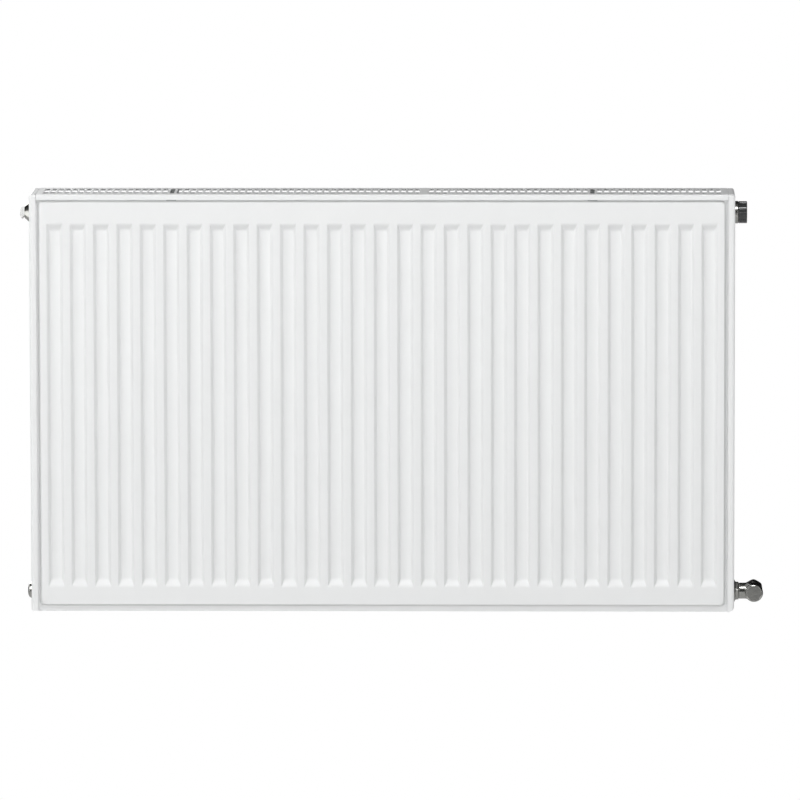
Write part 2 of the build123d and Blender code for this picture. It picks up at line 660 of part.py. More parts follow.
with BuildPart() as valve_pin:
    turn(
        valve_mouth,
        [(-31, 0), (-31, STEM_R), (SPRING_HEAD_OUT, STEM_R), (SPRING_HEAD_OUT, 4.6),
         (0.5, 4.6), (0.5, PIN_R), (17.2, PIN_R), (17.8, 1.3), (17.8, 0)],
    )
write(valve_pin.part, "valve_pin")

with BuildPart() as valve_disc:
    turn(
        valve_mouth,
        [(SEAT_OUT + 0.1, 0), (SEAT_OUT + 0.1, 6.2), (-30.4, 6.2), (-30.4, STEM_R), (-31, STEM_R),
         (-31, 0)],
    )
write(valve_disc.part, "valve_disc")

SPRING_R = 3.6
SPRING_WIRE_R = 0.45
SPRING_TURNS = 6
SPRING_STEPS = 12  # straight steps in a turn
spring_foot = valve_mouth.offset(SPRING_FOOT_OUT + SPRING_WIRE_R)
spring_length = SPRING_HEAD_OUT - SPRING_FOOT_OUT - 2 * SPRING_WIRE_R


def spring_point(turns):
    """The middle of the spring's wire after a number of turns."""
    angle = 2 * math.pi * turns
    rise = spring_length * turns / SPRING_TURNS
    return spring_foot.from_local_coords(
        Vector(SPRING_R * math.cos(angle), SPRING_R * math.sin(angle), rise)
    )


with BuildPart() as valve_spring:
    with BuildLine() as coil:
        Polyline(*[spring_point(i / SPRING_STEPS) for i in range(SPRING_TURNS * SPRING_STEPS + 1)])
    with BuildSketch(Plane(origin=coil.line @ 0, z_dir=coil.line % 0)):
        Circle(SPRING_WIRE_R)
    sweep(path=coil.line, transition=Transition.RIGHT)
write(valve_spring.part, "valve_spring")

# ---- protective cap on the insert ----
CAP_R = 15.7
CAP_BORE_R = 13.98
CAP_RIBS = 6
CAP_RIB_TURN = 13.0  # angle of a rib above the room side
CAP_RIB_HALF = 9.0  # from a rib's middle to the flute beside it
with BuildPart() as protective_cap:
    turn(
        valve_mouth,
        [(11.6, CAP_BORE_R), (11.6, CAP_R), (22.8, CAP_R), (23.6, CAP_R - 0.8), (23.6, 0),
         (17.8, 0), (17.8, 2.4), (20.6, 2.4), (20.6, CAP_BORE_R)],
    )
    # A pair of flutes leaves each finger rib standing.
    with BuildSketch(valve_mouth.offset(12.8)) as flutes:
        for flute_turn in (CAP_RIB_TURN - CAP_RIB_HALF, CAP_RIB_TURN + CAP_RIB_HALF):
            with PolarLocations(CAP_R + 0.3, CAP_RIBS, start_angle=180 - flute_turn):
                Circle(1.0)
    extrude(flutes.sketch, amount=12, mode=Mode.SUBTRACT)
write(protective_cap.part, "protective_cap")

# ---- return valve, lower right ----
return_mouth = port(1, PORT_LOW_Z)
RETURN_X = PORT_FACE_X + RETURN_AXIS_OUT
NUT_OUT = (2.9, 13.2)
with BuildPart() as return_tailpiece:
    turn(
        return_mouth,
        [(-12, 6.5), (-12, 9.4), (-11, THREAD_R), (SEAL_GAP, THREAD_R), (SEAL_GAP, 13.5),
         (2.8, 13.5), (2.8, 8.2), (7.0, 8.2), (7.0, 9.8), (8.6, 9.8), (8.6, 6.5)],
    )
write(return_tailpiece.part, "return_tailpiece")

with BuildPart() as return_union_nut:
    turn(
        return_mouth,
        [(NUT_OUT[0], 8.4), (NUT_OUT[0], 16.4), (6.4, 16.4), (9.0, 14.4), (12.4, 13.4),
         (NUT_OUT[1], 12.6), (NUT_OUT[1], 10.6), (6.9, 10.6), (6.9, 8.4)],
    )
    # Hexagon flats on the outer half only, beyond the collar.
    with BuildSketch(return_mouth.offset(8.2)) as flats:
        Circle(20)
        RegularPolygon(11.9, 6, major_radius=False, rotation=30, mode=Mode.SUBTRACT)
    extrude(flats.sketch, amount=6, mode=Mode.SUBTRACT)
write(return_union_nut.part, "return_union_nut")

# The barrel's plane looks out to the room, so distances are positive towards -Y.
barrel = Plane(origin=(RETURN_X, PORT_Y, PORT_LOW_Z), x_dir=(1, 0, 0), z_dir=(0, -1, 0))
BARREL_FLATS = 25.2
BARREL_HEX_FRONT = 1.0
RETURN_SEAT = -8.0
RETURN_SEAT_R = 5.5
RETURN_CHAMBER_R = 9.0
BONNET_BORE_R = 7.6
CAP_THREAD_R = 10.0
CAP_THREAD_OUT = (14.0, 19.0)
with BuildPart() as return_valve_body:
    prism(barrel, -BARREL_REAR, BARREL_REAR + BARREL_HEX_FRONT, BARREL_FLATS, turned=30)
    # The hexagon's ends are chamfered by a cone.
    turn(
        barrel,
        [(-BARREL_REAR, 0), (-BARREL_REAR, 12.9), (-BARREL_REAR + 1.2, 15), (-0.6, 15),
         (BARREL_HEX_FRONT, 13), (BARREL_HEX_FRONT, 0)],
        mode=Mode.INTERSECT,
    )
    turn(
        barrel,
        [(0, 0), (0, 12.2), (BARREL_FRONT - 1, 12.2), (BARREL_FRONT, 11.4),
         (BARREL_FRONT, CAP_THREAD_R), (CAP_THREAD_OUT[1] - 0.5, CAP_THREAD_R),
         (CAP_THREAD_OUT[1], 9.5), (CAP_THREAD_OUT[1], 0)],
    )
    turn(
        return_mouth,
        [(8.7, 0), (8.7, 10.3), (13.6, 10.3), (13.6, 11.5), (RETURN_AXIS_OUT, 11.5),
         (RETURN_AXIS_OUT, 0)],
    )
    rod(barrel, -BARREL_REAR, PIPE_BORE_DEPTH, PIPE_BORE_R, mode=Mode.SUBTRACT)
    rod(barrel, -BARREL_REAR, BARREL_REAR, RETURN_SEAT_R, mode=Mode.SUBTRACT)
    rod(barrel, RETURN_SEAT, 6.0 - RETURN_SEAT, RETURN_CHAMBER_R, mode=Mode.SUBTRACT)
    rod(barrel, 6.0, CAP_THREAD_OUT[1] - 6.0, BONNET_BORE_R, mode=Mode.SUBTRACT)
    rod(return_mouth, 8.7, RETURN_AXIS_OUT - 8.7, 7.0, mode=Mode.SUBTRACT)
write(return_valve_body.part, "return_valve_body")

SPINDLE_R = 3.0
BONNET_TOP = 20.6
with BuildPart() as return_bonnet:
    bonnet_bore_r = SPINDLE_R + 0.06
    turn(
        barrel,
        [(6.0, bonnet_bore_r), (6.0, 7.5), (CAP_THREAD_OUT[1], 7.5), (CAP_THREAD_OUT[1], 8.8),
         (BONNET_TOP, 8.8), (BONNET_TOP, bonnet_bore_r)],
    )
write(return_bonnet.part, "return_bonnet")

RETURN_LIFT = 3.0
DISC_HEIGHT = 2.6
disc_foot = RETURN_SEAT + RETURN_LIFT + 0.1
with BuildPart() as return_disc:
    rod(barrel, disc_foot, DISC_HEIGHT, 7.6)
write(return_disc.part, "return_disc")

SPINDLE_TOP = 22.6
with BuildPart() as return_spindle:
    rod(barrel, disc_foot + DISC_HEIGHT, SPINDLE_TOP - disc_foot - DISC_HEIGHT, SPINDLE_R)
    prism(barrel, SPINDLE_TOP - 4.0, 4.0, 4.0, mode=Mode.SUBTRACT)
write(return_spindle.part, "return_spindle")

# Cap over the spindle, with a flat washer inside its end.
RETURN_CAP_R = 12.9
RETURN_CAP_FLAT_R = 9.3
CAP_SOCKET_R = CAP_THREAD_R + 0.08
with BuildPart() as return_cap:
    turn(
        barrel,
        [(14.1, CAP_SOCKET_R), (14.1, 12.4), (14.6, RETURN_CAP_R), (23.4, RETURN_CAP_R),
         (25.2, 12.4), (26.5, 11.0), (27.0, RETURN_CAP_FLAT_R), (27.0, 0), (25.0, 0),
         (25.0, CAP_SOCKET_R)],
    )
write(return_cap.part, "return_cap")

with BuildPart() as return_cap_washer:
    turn(barrel, [(23.4, 4.0), (23.4, 9.6), (25.0, 9.6), (25.0, 4.0)])
write(return_cap_washer.part, "return_cap_washer")
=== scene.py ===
import json
import math

import bmesh
import bpy
import numpy as np
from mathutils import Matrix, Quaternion, Vector
from mathutils.geometry import tessellate_polygon

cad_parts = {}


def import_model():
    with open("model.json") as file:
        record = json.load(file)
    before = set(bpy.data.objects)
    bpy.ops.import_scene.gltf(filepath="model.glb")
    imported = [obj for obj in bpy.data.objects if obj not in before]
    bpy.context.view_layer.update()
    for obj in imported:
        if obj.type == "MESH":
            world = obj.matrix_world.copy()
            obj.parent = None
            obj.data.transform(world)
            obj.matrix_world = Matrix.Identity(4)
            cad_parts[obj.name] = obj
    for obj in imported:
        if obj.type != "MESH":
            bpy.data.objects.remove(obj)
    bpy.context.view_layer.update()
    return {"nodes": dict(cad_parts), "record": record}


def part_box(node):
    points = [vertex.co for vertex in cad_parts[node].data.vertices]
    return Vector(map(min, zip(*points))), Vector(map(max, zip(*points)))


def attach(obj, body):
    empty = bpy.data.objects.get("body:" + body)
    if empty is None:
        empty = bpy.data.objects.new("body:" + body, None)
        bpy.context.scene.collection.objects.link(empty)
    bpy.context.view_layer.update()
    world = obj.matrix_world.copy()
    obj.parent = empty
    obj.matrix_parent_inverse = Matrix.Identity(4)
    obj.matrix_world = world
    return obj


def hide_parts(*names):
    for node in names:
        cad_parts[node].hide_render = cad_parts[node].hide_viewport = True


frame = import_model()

# A steel panel radiator: two pressed water panels with convectors between them, a slotted top grille,
# folded side covers, and the fittings that look out of the covers.
#
# Frame: X along the length, Y from the room to the wall, Z up. Sizes below are in millimetres.

MM = 0.001


def box_mm(node):
    """The lowest and highest corner of a CAD node, in millimetres."""
    low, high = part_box(node)
    return low / MM, high / MM


def middle_mm(node):
    """The middle of a CAD node, in millimetres."""
    low, high = box_mm(node)
    return (low + high) / 2


# ---- places read from the frame ----
FACE_LOW, FACE_HIGH = box_mm("front_panel_face_sheet")
INNER_LOW = box_mm("front_panel_inner_sheet")[0]
WALL_LOW, WALL_HIGH = box_mm("rear_panel_wall_sheet")
PANEL_LENGTH = FACE_HIGH.x - FACE_LOW.x
PANEL_HEIGHT = FACE_HIGH.z - FACE_LOW.z
PANEL_MIDDLE_Z = (FACE_HIGH.z + FACE_LOW.z) / 2
FRONT_SEAM_Y = INNER_LOW.y
REAR_SEAM_Y = WALL_LOW.y
CHANNEL_RISE = WALL_HIGH.y - WALL_LOW.y

# ---- pressed pattern ----
SHEET = 1.25
PANEL_CORNER = 8.0
CHANNELS = 30
PITCH = PANEL_LENGTH / CHANNELS
PAD_FOOT = (980.6, 582.6)
# How far the pad sits above the middle of the sheet. Known fault: at 2.2 all four sheets cut into the
# grille clips, and at 1.1 they don't.
PAD_RISE = 2.2
PAD_CORNER = 7.0
PAD_SLOPE = 2.4
GROOVE_RIM = (22.3, 520.6)
GROOVE_SIDE = 3.45  # width of a groove's long slope
GROOVE_END = 8.8  # length of a groove's end slope
BEND = 0.30  # share of a slope taken by each rounded bend
MITRE = 0.12  # softness of the crease where a groove's slopes meet
EDGE_INSETS = (0.0, 0.15, 0.4, 3.0)  # mesh lines along the sheet's edges
MARGIN_INSETS = (18.0, 28.0)  # mesh lines between the pad's foot and the groove ends

# ---- casing ----
COVER_LOW, COVER_HIGH = box_mm("right_side_cover")
COVER_INNER_X = 493.5
GRILLE_LOW, GRILLE_HIGH = box_mm("top_grille")
COVER_SHEET = 0.8
COVER_EDGE_R = 4.0
COVER_FOOT_R = {-1: 4.0, 1: 8.0}
COVER_HOLE_R = 18.0
COVER_TAB = (16.0, 22.0)
COVER_TAB_OFFSET = 27.0
GRILLE_EDGE_R = 1.6
SLOT_PITCH = 10.0
SLOT_COUNT = 97
SLOT_BLANK = 54
SLOT_SIZE = (68.0, 6.4)
SLOT_EDGE_R = 0.35
REAR_LIP_Z = 596.0


# ---- outlines ----
def round_corners(points, closed, steps=4):
    """Rounds the corners of an outline of (a, b, fillet) points, and returns (a, b) points."""
    rounded = []
    for i, (a, b, fillet) in enumerate(points):
        at_end = not closed and i in (0, len(points) - 1)
        corner = Vector((a, b))
        if at_end or not fillet:
            rounded.append(corner)
            continue
        before = Vector(points[i - 1][:2]) - corner
        after = Vector(points[(i + 1) % len(points)][:2]) - corner
        half = before.angle(after) / 2
        reach = min(fillet / math.tan(half), 0.49 * before.length, 0.49 * after.length)
        start = corner + before.normalized() * reach
        end = corner + after.normalized() * reach
        for step in range(steps + 1):
            t = step / steps
            rounded.append((1 - t) ** 2 * start + 2 * t * (1 - t) * corner + t * t * end)
    return rounded


def thread(start, end, crest_r, depth, pitch):
    """Outline points of a thread drawn as rings, from one end to the other."""
    turns = max(1, round(abs(end - start) / pitch))
    step = (end - start) / turns
    points = []
    for i in range(turns):
        base = start + i * step
        points += [
            (base, crest_r - depth, 0.1),
            (base + 0.35 * step, crest_r, 0.1),
            (base + 0.55 * step, crest_r, 0.1),
        ]
    return points + [(end, crest_r - depth, 0.1)]


# ---- meshes ----
CORNER_STEPS = 4  # faces across a rounded corner of a turned part
SHARP_DEG = 35  # faces that meet at a larger angle keep a hard edge
def smooth_mesh(mesh, sharp=40.0):
    """Shades a mesh smooth, with creases where its faces meet at more than an angle in degrees."""
    mesh.polygons.foreach_set("use_smooth", [True] * len(mesh.polygons))
    mesh.set_sharp_from_angle(angle=math.radians(sharp))
    mesh.update()


def apply_modifiers(obj):
    """Replaces an object's mesh by the mesh its modifiers make."""
    bpy.context.view_layer.update()
    made = bpy.data.meshes.new_from_object(obj.evaluated_get(bpy.context.evaluated_depsgraph_get()))
    obj.modifiers.clear()
    obj.data = made


def new_piece(name, points, faces, outward=None):
    """Makes an object of a mesh in millimetres. With outward, the first face is turned that way."""
    mesh = bpy.data.meshes.new(name)
    mesh.from_pydata([tuple(MM * c for c in p) for p in points], [], faces)
    work = bmesh.new()
    work.from_mesh(mesh)
    bmesh.ops.remove_doubles(work, verts=work.verts, dist=1e-7)
    bmesh.ops.recalc_face_normals(work, faces=work.faces)
    if outward:
        work.faces.ensure_lookup_table()
        widest = max(work.faces, key=lambda face: face.calc_area())
        if widest.normal.dot(Vector(outward)) < 0:
            bmesh.ops.reverse_faces(work, faces=work.faces)
    work.to_mesh(mesh)
    work.free()
    obj = bpy.data.objects.new(name, mesh)
    bpy.context.scene.collection.objects.link(obj)
    return obj


def settle(obj, material, body, nodes, sharp=40.0, weighted=True):
    """Gives a piece its material, its body and its smooth shading, and hides the CAD nodes that it stands
    for.
    """
    smooth_mesh(obj.data, sharp)
    if weighted:
        normals = obj.modifiers.new("normals", "WEIGHTED_NORMAL")
        normals.keep_sharp = True
        apply_modifiers(obj)
    obj.data.materials.clear()
    obj.data.materials.append(material)
    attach(obj, body)
    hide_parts(*nodes)
    return obj


def thicken(obj, thickness):
    """Turns an open surface into a sheet, to the inside of its normals."""
    solid = obj.modifiers.new("sheet", "SOLIDIFY")
    solid.thickness = thickness * MM
    solid.offset = -1.0
    solid.use_even_offset = True
    apply_modifiers(obj)


def turned(origin, axis, across, outline, shape=None, segments=96):
    """Points and faces of an outline of (out, radius) turned round an axis through the origin.

    shape, if given, takes (angle, out, radius) and returns the radius at that angle.
    """
    origin, axis, across = Vector(origin), Vector(axis), Vector(across)
    third = axis.cross(across)
    points, rings, faces = [], [], []
    for out, radius in outline:
        if radius < 1e-6:
            rings.append([len(points)] * segments)
            points.append(origin + axis * out)
            continue
        rings.append(list(range(len(points), len(points) + segments)))
        for k in range(segments):
            angle = 2 * math.pi * k / segments
            r = shape(angle, out, radius) if shape else radius
            points.append(
                origin + axis * out + across * (r * math.cos(angle)) + third * (r * math.sin(angle))
            )
    on_axis = outline[0][1] < 1e-6 and outline[-1][1] < 1e-6
    pairs = list(zip(rings, rings[1:])) + ([] if on_axis else [(rings[-1], rings[0])])
    for low, high in pairs:
        for k in range(segments):
            after = (k + 1) % segments
            corners = [low[k], low[after], high[after], high[k]]
            faces.append(list(dict.fromkeys(corners)))
    return points, [f for f in faces if len(f) > 2]


def turned_piece(name, node, place, outline, material, shape=None, segments=96):
    """A turned part of the radiator that stands for one CAD node. place is (origin, axis, across)."""
    closed = not (outline[0][1] == 0 and outline[-1][1] == 0)
    points, faces = turned(*place, round_corners(outline, closed, CORNER_STEPS), shape, segments)
    return settle(new_piece(name, points, faces), material, "radiator", [node], sharp=SHARP_DEG)


def cast_copy(
    name, node, material, body="radiator", voxel=0.35, relax=4, keep=0.3, extra=(), forge=None
):
    """A softened copy of a CAD node, with the rounded edges and blends of a forging.

    extra holds (points, faces) pairs that are merged into it. forge, if given, moves an array of its points.
    """
    work = bmesh.new()
    work.from_mesh(frame["nodes"][node].data)
    bmesh.ops.remove_doubles(work, verts=work.verts, dist=1e-6)
    for points, faces in extra:
        made = [work.verts.new(Vector(p) * MM) for p in points]
        for face in faces:
            work.faces.new([made[i] for i in face])
    bmesh.ops.recalc_face_normals(work, faces=work.faces)
    mesh = bpy.data.meshes.new(name)
    work.to_mesh(mesh)
    work.free()
    obj = bpy.data.objects.new(name, mesh)
    bpy.context.scene.collection.objects.link(obj)
    remesh = obj.modifiers.new("skin", "REMESH")
    remesh.mode = "VOXEL"
    remesh.voxel_size = voxel * MM
    if forge:
        apply_modifiers(obj)
        places = np.empty(3 * len(obj.data.vertices))
        obj.data.vertices.foreach_get("co", places)
        obj.data.vertices.foreach_set("co", (forge(places.reshape(-1, 3) / MM) * MM).ravel())
    ease = obj.modifiers.new("ease", "SMOOTH")
    ease.factor = 0.5
    ease.iterations = relax
    thin = obj.modifiers.new("thin", "DECIMATE")
    thin.ratio = keep
    apply_modifiers(obj)
    return settle(obj, material, body, [node], sharp=60)


# ---- materials ----
def new_material(name):
    """An empty Principled material: the material, its node tree and its shader."""
    material = bpy.data.materials.new(name)
    material.use_nodes = True
    tree = material.node_tree
    return material, tree, tree.nodes["Principled BSDF"]


def noise(tree, feature, detail=2.0, stretch=(1.0, 1.0, 1.0)):
    """Noise in the object's own space, with features of a size in millimetres."""
    place = tree.nodes.new("ShaderNodeTexCoord")
    scale = tree.nodes.new("ShaderNodeMapping")
    scale.inputs["Scale"].default_value = stretch
    texture = tree.nodes.new("ShaderNodeTexNoise")
    texture.inputs["Scale"].default_value = 1.0 / (feature * MM)
    texture.inputs["Detail"].default_value = detail
    tree.links.new(place.outputs["Object"], scale.inputs["Vector"])
    tree.links.new(scale.outputs["Vector"], texture.inputs["Vector"])
    return texture.outputs["Fac"]


def spread(tree, source, low, high, target):
    """Feeds a socket with a value that runs from low to high with the noise."""
    span = tree.nodes.new("ShaderNodeMapRange")
    span.inputs["From Min"].default_value = 0.3
    span.inputs["From Max"].default_value = 0.7
    span.inputs["To Min"].default_value = low
    span.inputs["To Max"].default_value = high
    tree.links.new(source, span.inputs["Value"])
    tree.links.new(span.outputs["Result"], target)


def tint(tree, source, dark, light, target):
    """Feeds a colour socket with a colour that runs from dark to light with the noise."""
    ramp = tree.nodes.new("ShaderNodeValToRGB")
    ramp.color_ramp.elements[0].position = 0.3
    ramp.color_ramp.elements[1].position = 0.7
    ramp.color_ramp.elements[0].color = (*dark, 1.0)
    ramp.color_ramp.elements[1].color = (*light, 1.0)
    tree.links.new(source, ramp.inputs["Fac"])
    tree.links.new(ramp.outputs["Color"], target)


def relief(tree, sources, shader):
    """Bump from (noise, height in millimetres) pairs, one on top of the other."""
    below = None
    for source, height in sources:
        bump = tree.nodes.new("ShaderNodeBump")
        bump.inputs["Strength"].default_value = 1.0
        bump.inputs["Distance"].default_value = height * MM
        tree.links.new(source, bump.inputs["Height"])
        if below:
            tree.links.new(below, bump.inputs["Normal"])
        below = bump.outputs["Normal"]
    tree.links.new(below, shader.inputs["Normal"])


def powder_coat(name, tone):
    """Satin white powder coat with a fine orange peel."""
    material, tree, shader = new_material(name)
    light = tuple(min(1.0, c * 1.006) for c in tone)
    dark = tuple(c * 0.992 for c in tone)
    tint(tree, noise(tree, 45.0, 3.0), dark, light, shader.inputs["Base Color"])
    spread(tree, noise(tree, 9.0, 2.0), 0.36, 0.44, shader.inputs["Roughness"])
    relief(tree, [(noise(tree, 2.2, 1.0), 0.006), (noise(tree, 0.5, 1.0), 0.0008)], shader)
    shader.inputs["IOR"].default_value = 1.48
    return material


def plated(name, dark, light, low, high):
    """Polished plating with faint polishing marks and a slow cloudiness."""
    material, tree, shader = new_material(name)
    shader.inputs["Metallic"].default_value = 1.0
    tint(tree, noise(tree, 6.0, 3.0), dark, light, shader.inputs["Base Color"])
    spread(tree, noise(tree, 1.5, 3.0, (1.0, 0.3, 1.0)), low, high, shader.inputs["Roughness"])
    relief(tree, [(noise(tree, 3.0, 2.0), 0.012), (noise(tree, 0.35, 2.0), 0.0012)], shader)
    return material


def plastic(name, dark, light, low, high, gloss=0.0):
    """Moulded plastic with a fine grain, and a share of glossy skin."""
    material, tree, shader = new_material(name)
    tint(tree, noise(tree, 4.0, 3.0), dark, light, shader.inputs["Base Color"])
    spread(tree, noise(tree, 1.2, 2.0), low, high, shader.inputs["Roughness"])
    relief(tree, [(noise(tree, 0.5, 2.0), 0.004)], shader)
    shader.inputs["Coat Weight"].default_value = gloss
    shader.inputs["Coat Roughness"].default_value = 0.1
    return material


def machined(name, dark, light, low, high, stretch):
    """Bare turned or ground metal, with marks drawn out along one direction."""
    material, tree, shader = new_material(name)
    shader.inputs["Metallic"].default_value = 1.0
    tint(tree, noise(tree, 5.0, 3.0), dark, light, shader.inputs["Base Color"])
    spread(tree, noise(tree, 0.8, 3.0, stretch), low, high, shader.inputs["Roughness"])
    relief(tree, [(noise(tree, 0.5, 2.0, stretch), 0.003)], shader)
    return material


PAINT = powder_coat("white_powder_coat", (0.83, 0.838, 0.838))
CHROME = plated("nickel_plate", (0.43, 0.43, 0.41), (0.53, 0.53, 0.505), 0.14, 0.24)
BLACK = plastic("black_moulding", (0.026, 0.028, 0.029), (0.038, 0.040, 0.041), 0.12, 0.18, 0.9)
WHITE = plastic("white_moulding", (0.80, 0.80, 0.79), (0.84, 0.84, 0.83), 0.32, 0.42)
RUBBER = plastic("black_rubber", (0.010, 0.010, 0.010), (0.020, 0.020, 0.020), 0.60, 0.75)
BRASS = machined("turned_brass", (0.56, 0.40, 0.18), (0.68, 0.50, 0.25), 0.22, 0.36, (1.0, 4.0, 4.0))
STEEL = machined("ground_stainless", (0.52, 0.52, 0.51), (0.62, 0.62, 0.61), 0.20, 0.32, (6.0, 1.0, 1.0))
ZINC = machined("zinc_plate", (0.48, 0.49, 0.50), (0.60, 0.61, 0.61), 0.28, 0.42, (1.0, 1.0, 1.0))
MATERIALS = {
    "white_paint": PAINT,
    "spring_clip": ZINC,
    "chrome": CHROME,
    "black_plastic": BLACK,
    "white_plastic": WHITE,
    "rubber": RUBBER,
    "brass": BRASS,
    "stainless": STEEL,
}


# ---- pressed sheets ----
def bent(t, soft):
    """0 below 0 and t above 0, with a round bend between the two."""
    return np.where(t > soft, t, np.clip(t + soft, 0.0, None) ** 2 / (4 * soft))


def ramp(t):
    """0 below 0 and 1 above 1, straight in between, with both bends rounded."""
    return bent(t, BEND) - bent(t - 1.0, BEND)


def ramp_stations(start, run, steps):
    """Places across a rounded ramp that starts at start: steps across each bend, and one past each end."""
    marks = np.concatenate(
        [
            np.linspace(-BEND, BEND, steps + 1),
            np.linspace(BEND, 1 - BEND, max(1, steps // 2) + 1)[1:-1],
            np.linspace(1 - BEND, 1 + BEND, steps + 1),
        ]
    )
    guard = 0.12
    marks = np.concatenate([[-BEND - guard], marks, [1 + BEND + guard]])
    return start + run * marks


def mirrored(places):
    """Places on both sides of zero, sorted, without repeats."""
    both = np.concatenate([-np.asarray(places), np.asarray(places)])
    return np.unique(np.round(both, 4))


def sheet_columns(steps):
    """Places along the sheet's length where its mesh has a column."""
    half = PANEL_LENGTH / 2
    edge = [half - inset for inset in EDGE_INSETS]
    pad = ramp_stations(PAD_FOOT[0] / 2, -PAD_SLOPE, steps)
    side = ramp_stations(GROOVE_RIM[0] / 2, -GROOVE_SIDE, steps)
    one_groove = np.concatenate([mirrored(side), [0.0, PITCH / 2]])
    grooves = [k * PITCH + one_groove for k in range(-(CHANNELS // 2 - 1), CHANNELS // 2)]
    outermost = [(CHANNELS // 2) * PITCH - PITCH / 2]
    return mirrored(np.concatenate([edge, pad, outermost, *[g[g >= -1e-6] for g in grooves]]))


def sheet_rows(steps):
    """Places up the sheet's height where its mesh has a row."""
    half = PANEL_HEIGHT / 2
    edge = [half - inset for inset in EDGE_INSETS]
    foot = ramp_stations(PAD_FOOT[1] / 2, -PAD_SLOPE, steps)
    pad = np.concatenate([foot + PAD_RISE, foot - PAD_RISE])
    between = [half - inset for inset in MARGIN_INSETS]
    end = ramp_stations(GROOVE_RIM[1] / 2, -GROOVE_END, steps + 2)
    middle = np.linspace(0.0, GROOVE_RIM[1] / 2 - GROOVE_END - 8.0, 6)
    return mirrored(np.concatenate([edge, pad, between, end, middle]))


def sheet_height(x, z):
    """Height of the pressed sheet's outer surface above its seam plane."""
    reach_x = np.abs(x) - (PAD_FOOT[0] / 2 - PAD_CORNER)
    reach_z = np.abs(z - PAD_RISE) - (PAD_FOOT[1] / 2 - PAD_CORNER)
    outside = np.hypot(np.clip(reach_x, 0, None), np.clip(reach_z, 0, None))
    inset = PAD_CORNER - outside - np.minimum(np.maximum(reach_x, reach_z), 0)
    pad = ramp(inset / PAD_SLOPE)
    across = np.abs(x - PITCH * np.round(x / PITCH))
    side = (GROOVE_RIM[0] / 2 - across) / GROOVE_SIDE
    end = (GROOVE_RIM[1] / 2 - np.abs(z)) / GROOVE_END
    near = np.minimum(side, end) - np.clip(MITRE - np.abs(side - end), 0, None) ** 2 / (4 * MITRE)
    in_row = np.abs(x) < (CHANNELS // 2 - 0.5) * PITCH
    groove = np.where(in_row, ramp(near), 0.0)
    return SHEET + (CHANNEL_RISE - SHEET) * pad * (1.0 - groove)


def round_outline(x, z):
    """Moves the points of each corner square onto a quarter disc, which rounds the sheet's corners."""
    u = np.clip(np.abs(x) - (PANEL_LENGTH / 2 - PANEL_CORNER), 0, None) / PANEL_CORNER
    v = np.clip(np.abs(z) - (PANEL_HEIGHT / 2 - PANEL_CORNER), 0, None) / PANEL_CORNER
    shift_x = PANEL_CORNER * u * (np.sqrt(1 - v * v / 2) - 1)
    shift_z = PANEL_CORNER * v * (np.sqrt(1 - u * u / 2) - 1)
    return x + np.sign(x) * shift_x, z + np.sign(z) * shift_z


def grid_faces(count_x, count_z, offset, flip):
    """Quads of a grid of count_z rows of count_x points."""
    faces = []
    for j in range(count_z - 1):
        for i in range(count_x - 1):
            a = offset + j * count_x + i
            quad = [a, a + 1, a + count_x + 1, a + count_x]
            faces.append(quad[::-1] if flip else quad)
    return faces


def rim_loop(count_x, count_z):
    """Indexes of a grid's boundary points, in order."""
    last = count_x * (count_z - 1)
    bottom = list(range(count_x))
    right = [count_x - 1 + j * count_x for j in range(1, count_z)]
    top = [last + i for i in range(count_x - 2, -1, -1)]
    left = [j * count_x for j in range(count_z - 2, 0, -1)]
    return bottom + right + top + left


def pressed_sheet(name, node, seam_y, outward, steps):
    """One pressed sheet of a water panel, as a closed shell with rounded bends."""
    columns, rows = sheet_columns(steps), sheet_rows(steps)
    x, z = np.meshgrid(columns, rows)
    edge = np.minimum(PANEL_LENGTH / 2 - np.abs(x), PANEL_HEIGHT / 2 - np.abs(z))
    roll = np.clip(1 - edge / 0.4, 0, 1) ** 2
    round_x, round_z = round_outline(x, z)
    top = sheet_height(x, z)
    grade_x = np.gradient(top, columns, axis=1)
    grade_z = np.gradient(top, rows, axis=0)
    wall = SHEET * np.sqrt(1 + grade_x**2 + grade_z**2)
    under = np.maximum(top - wall, 0.0) + 0.15 * roll
    top = top - 0.3 * roll
    points = []
    for height in (top, under):
        y = seam_y + outward * height
        points += list(zip(round_x.ravel(), y.ravel(), (round_z + PANEL_MIDDLE_Z).ravel()))
    count_x, count_z = len(columns), len(rows)
    size = count_x * count_z
    faces = grid_faces(count_x, count_z, 0, False) + grid_faces(count_x, count_z, size, True)
    loop = rim_loop(count_x, count_z)
    for a, b in zip(loop, loop[1:] + loop[:1]):
        faces.append([a, b, b + size, a + size][::-1])
    obj = new_piece(name, points, faces)
    return settle(obj, PAINT, "radiator", [node], sharp=50, weighted=False)


# ---- bent strips: convectors and lugs ----
def strip_piece(name, node, path, thickness, low_z, high_z, steps):
    """A strip bent along a path of (x, y, fillet) points and standing from low_z to high_z."""
    middle = round_corners(path, False, steps)
    left, right = [], []
    for i, point in enumerate(middle):
        before = (point - middle[i - 1]).normalized() if i else None
        after = (middle[i + 1] - point).normalized() if i < len(middle) - 1 else None
        run = ((before or after) + (after or before)).normalized()
        side = Vector((-run.y, run.x)) * (thickness / 2 / max(0.5, run.dot(before or after)))
        left.append(point + side)
        right.append(point - side)
    section = left + right[::-1]
    count = len(middle)
    points = [(p.x, p.y, z) for z in (low_z, high_z) for p in section]
    faces = []
    for i in range(2 * count):
        after = (i + 1) % (2 * count)
        faces.append([i, after, after + 2 * count, i + 2 * count])
    for i in range(count - 1):
        end = [i, i + 1, 2 * count - 2 - i, 2 * count - 1 - i]
        faces += [end, [k + 2 * count for k in end[::-1]]]
    return settle(new_piece(name, points, faces), PAINT, "radiator", [node], sharp=50)


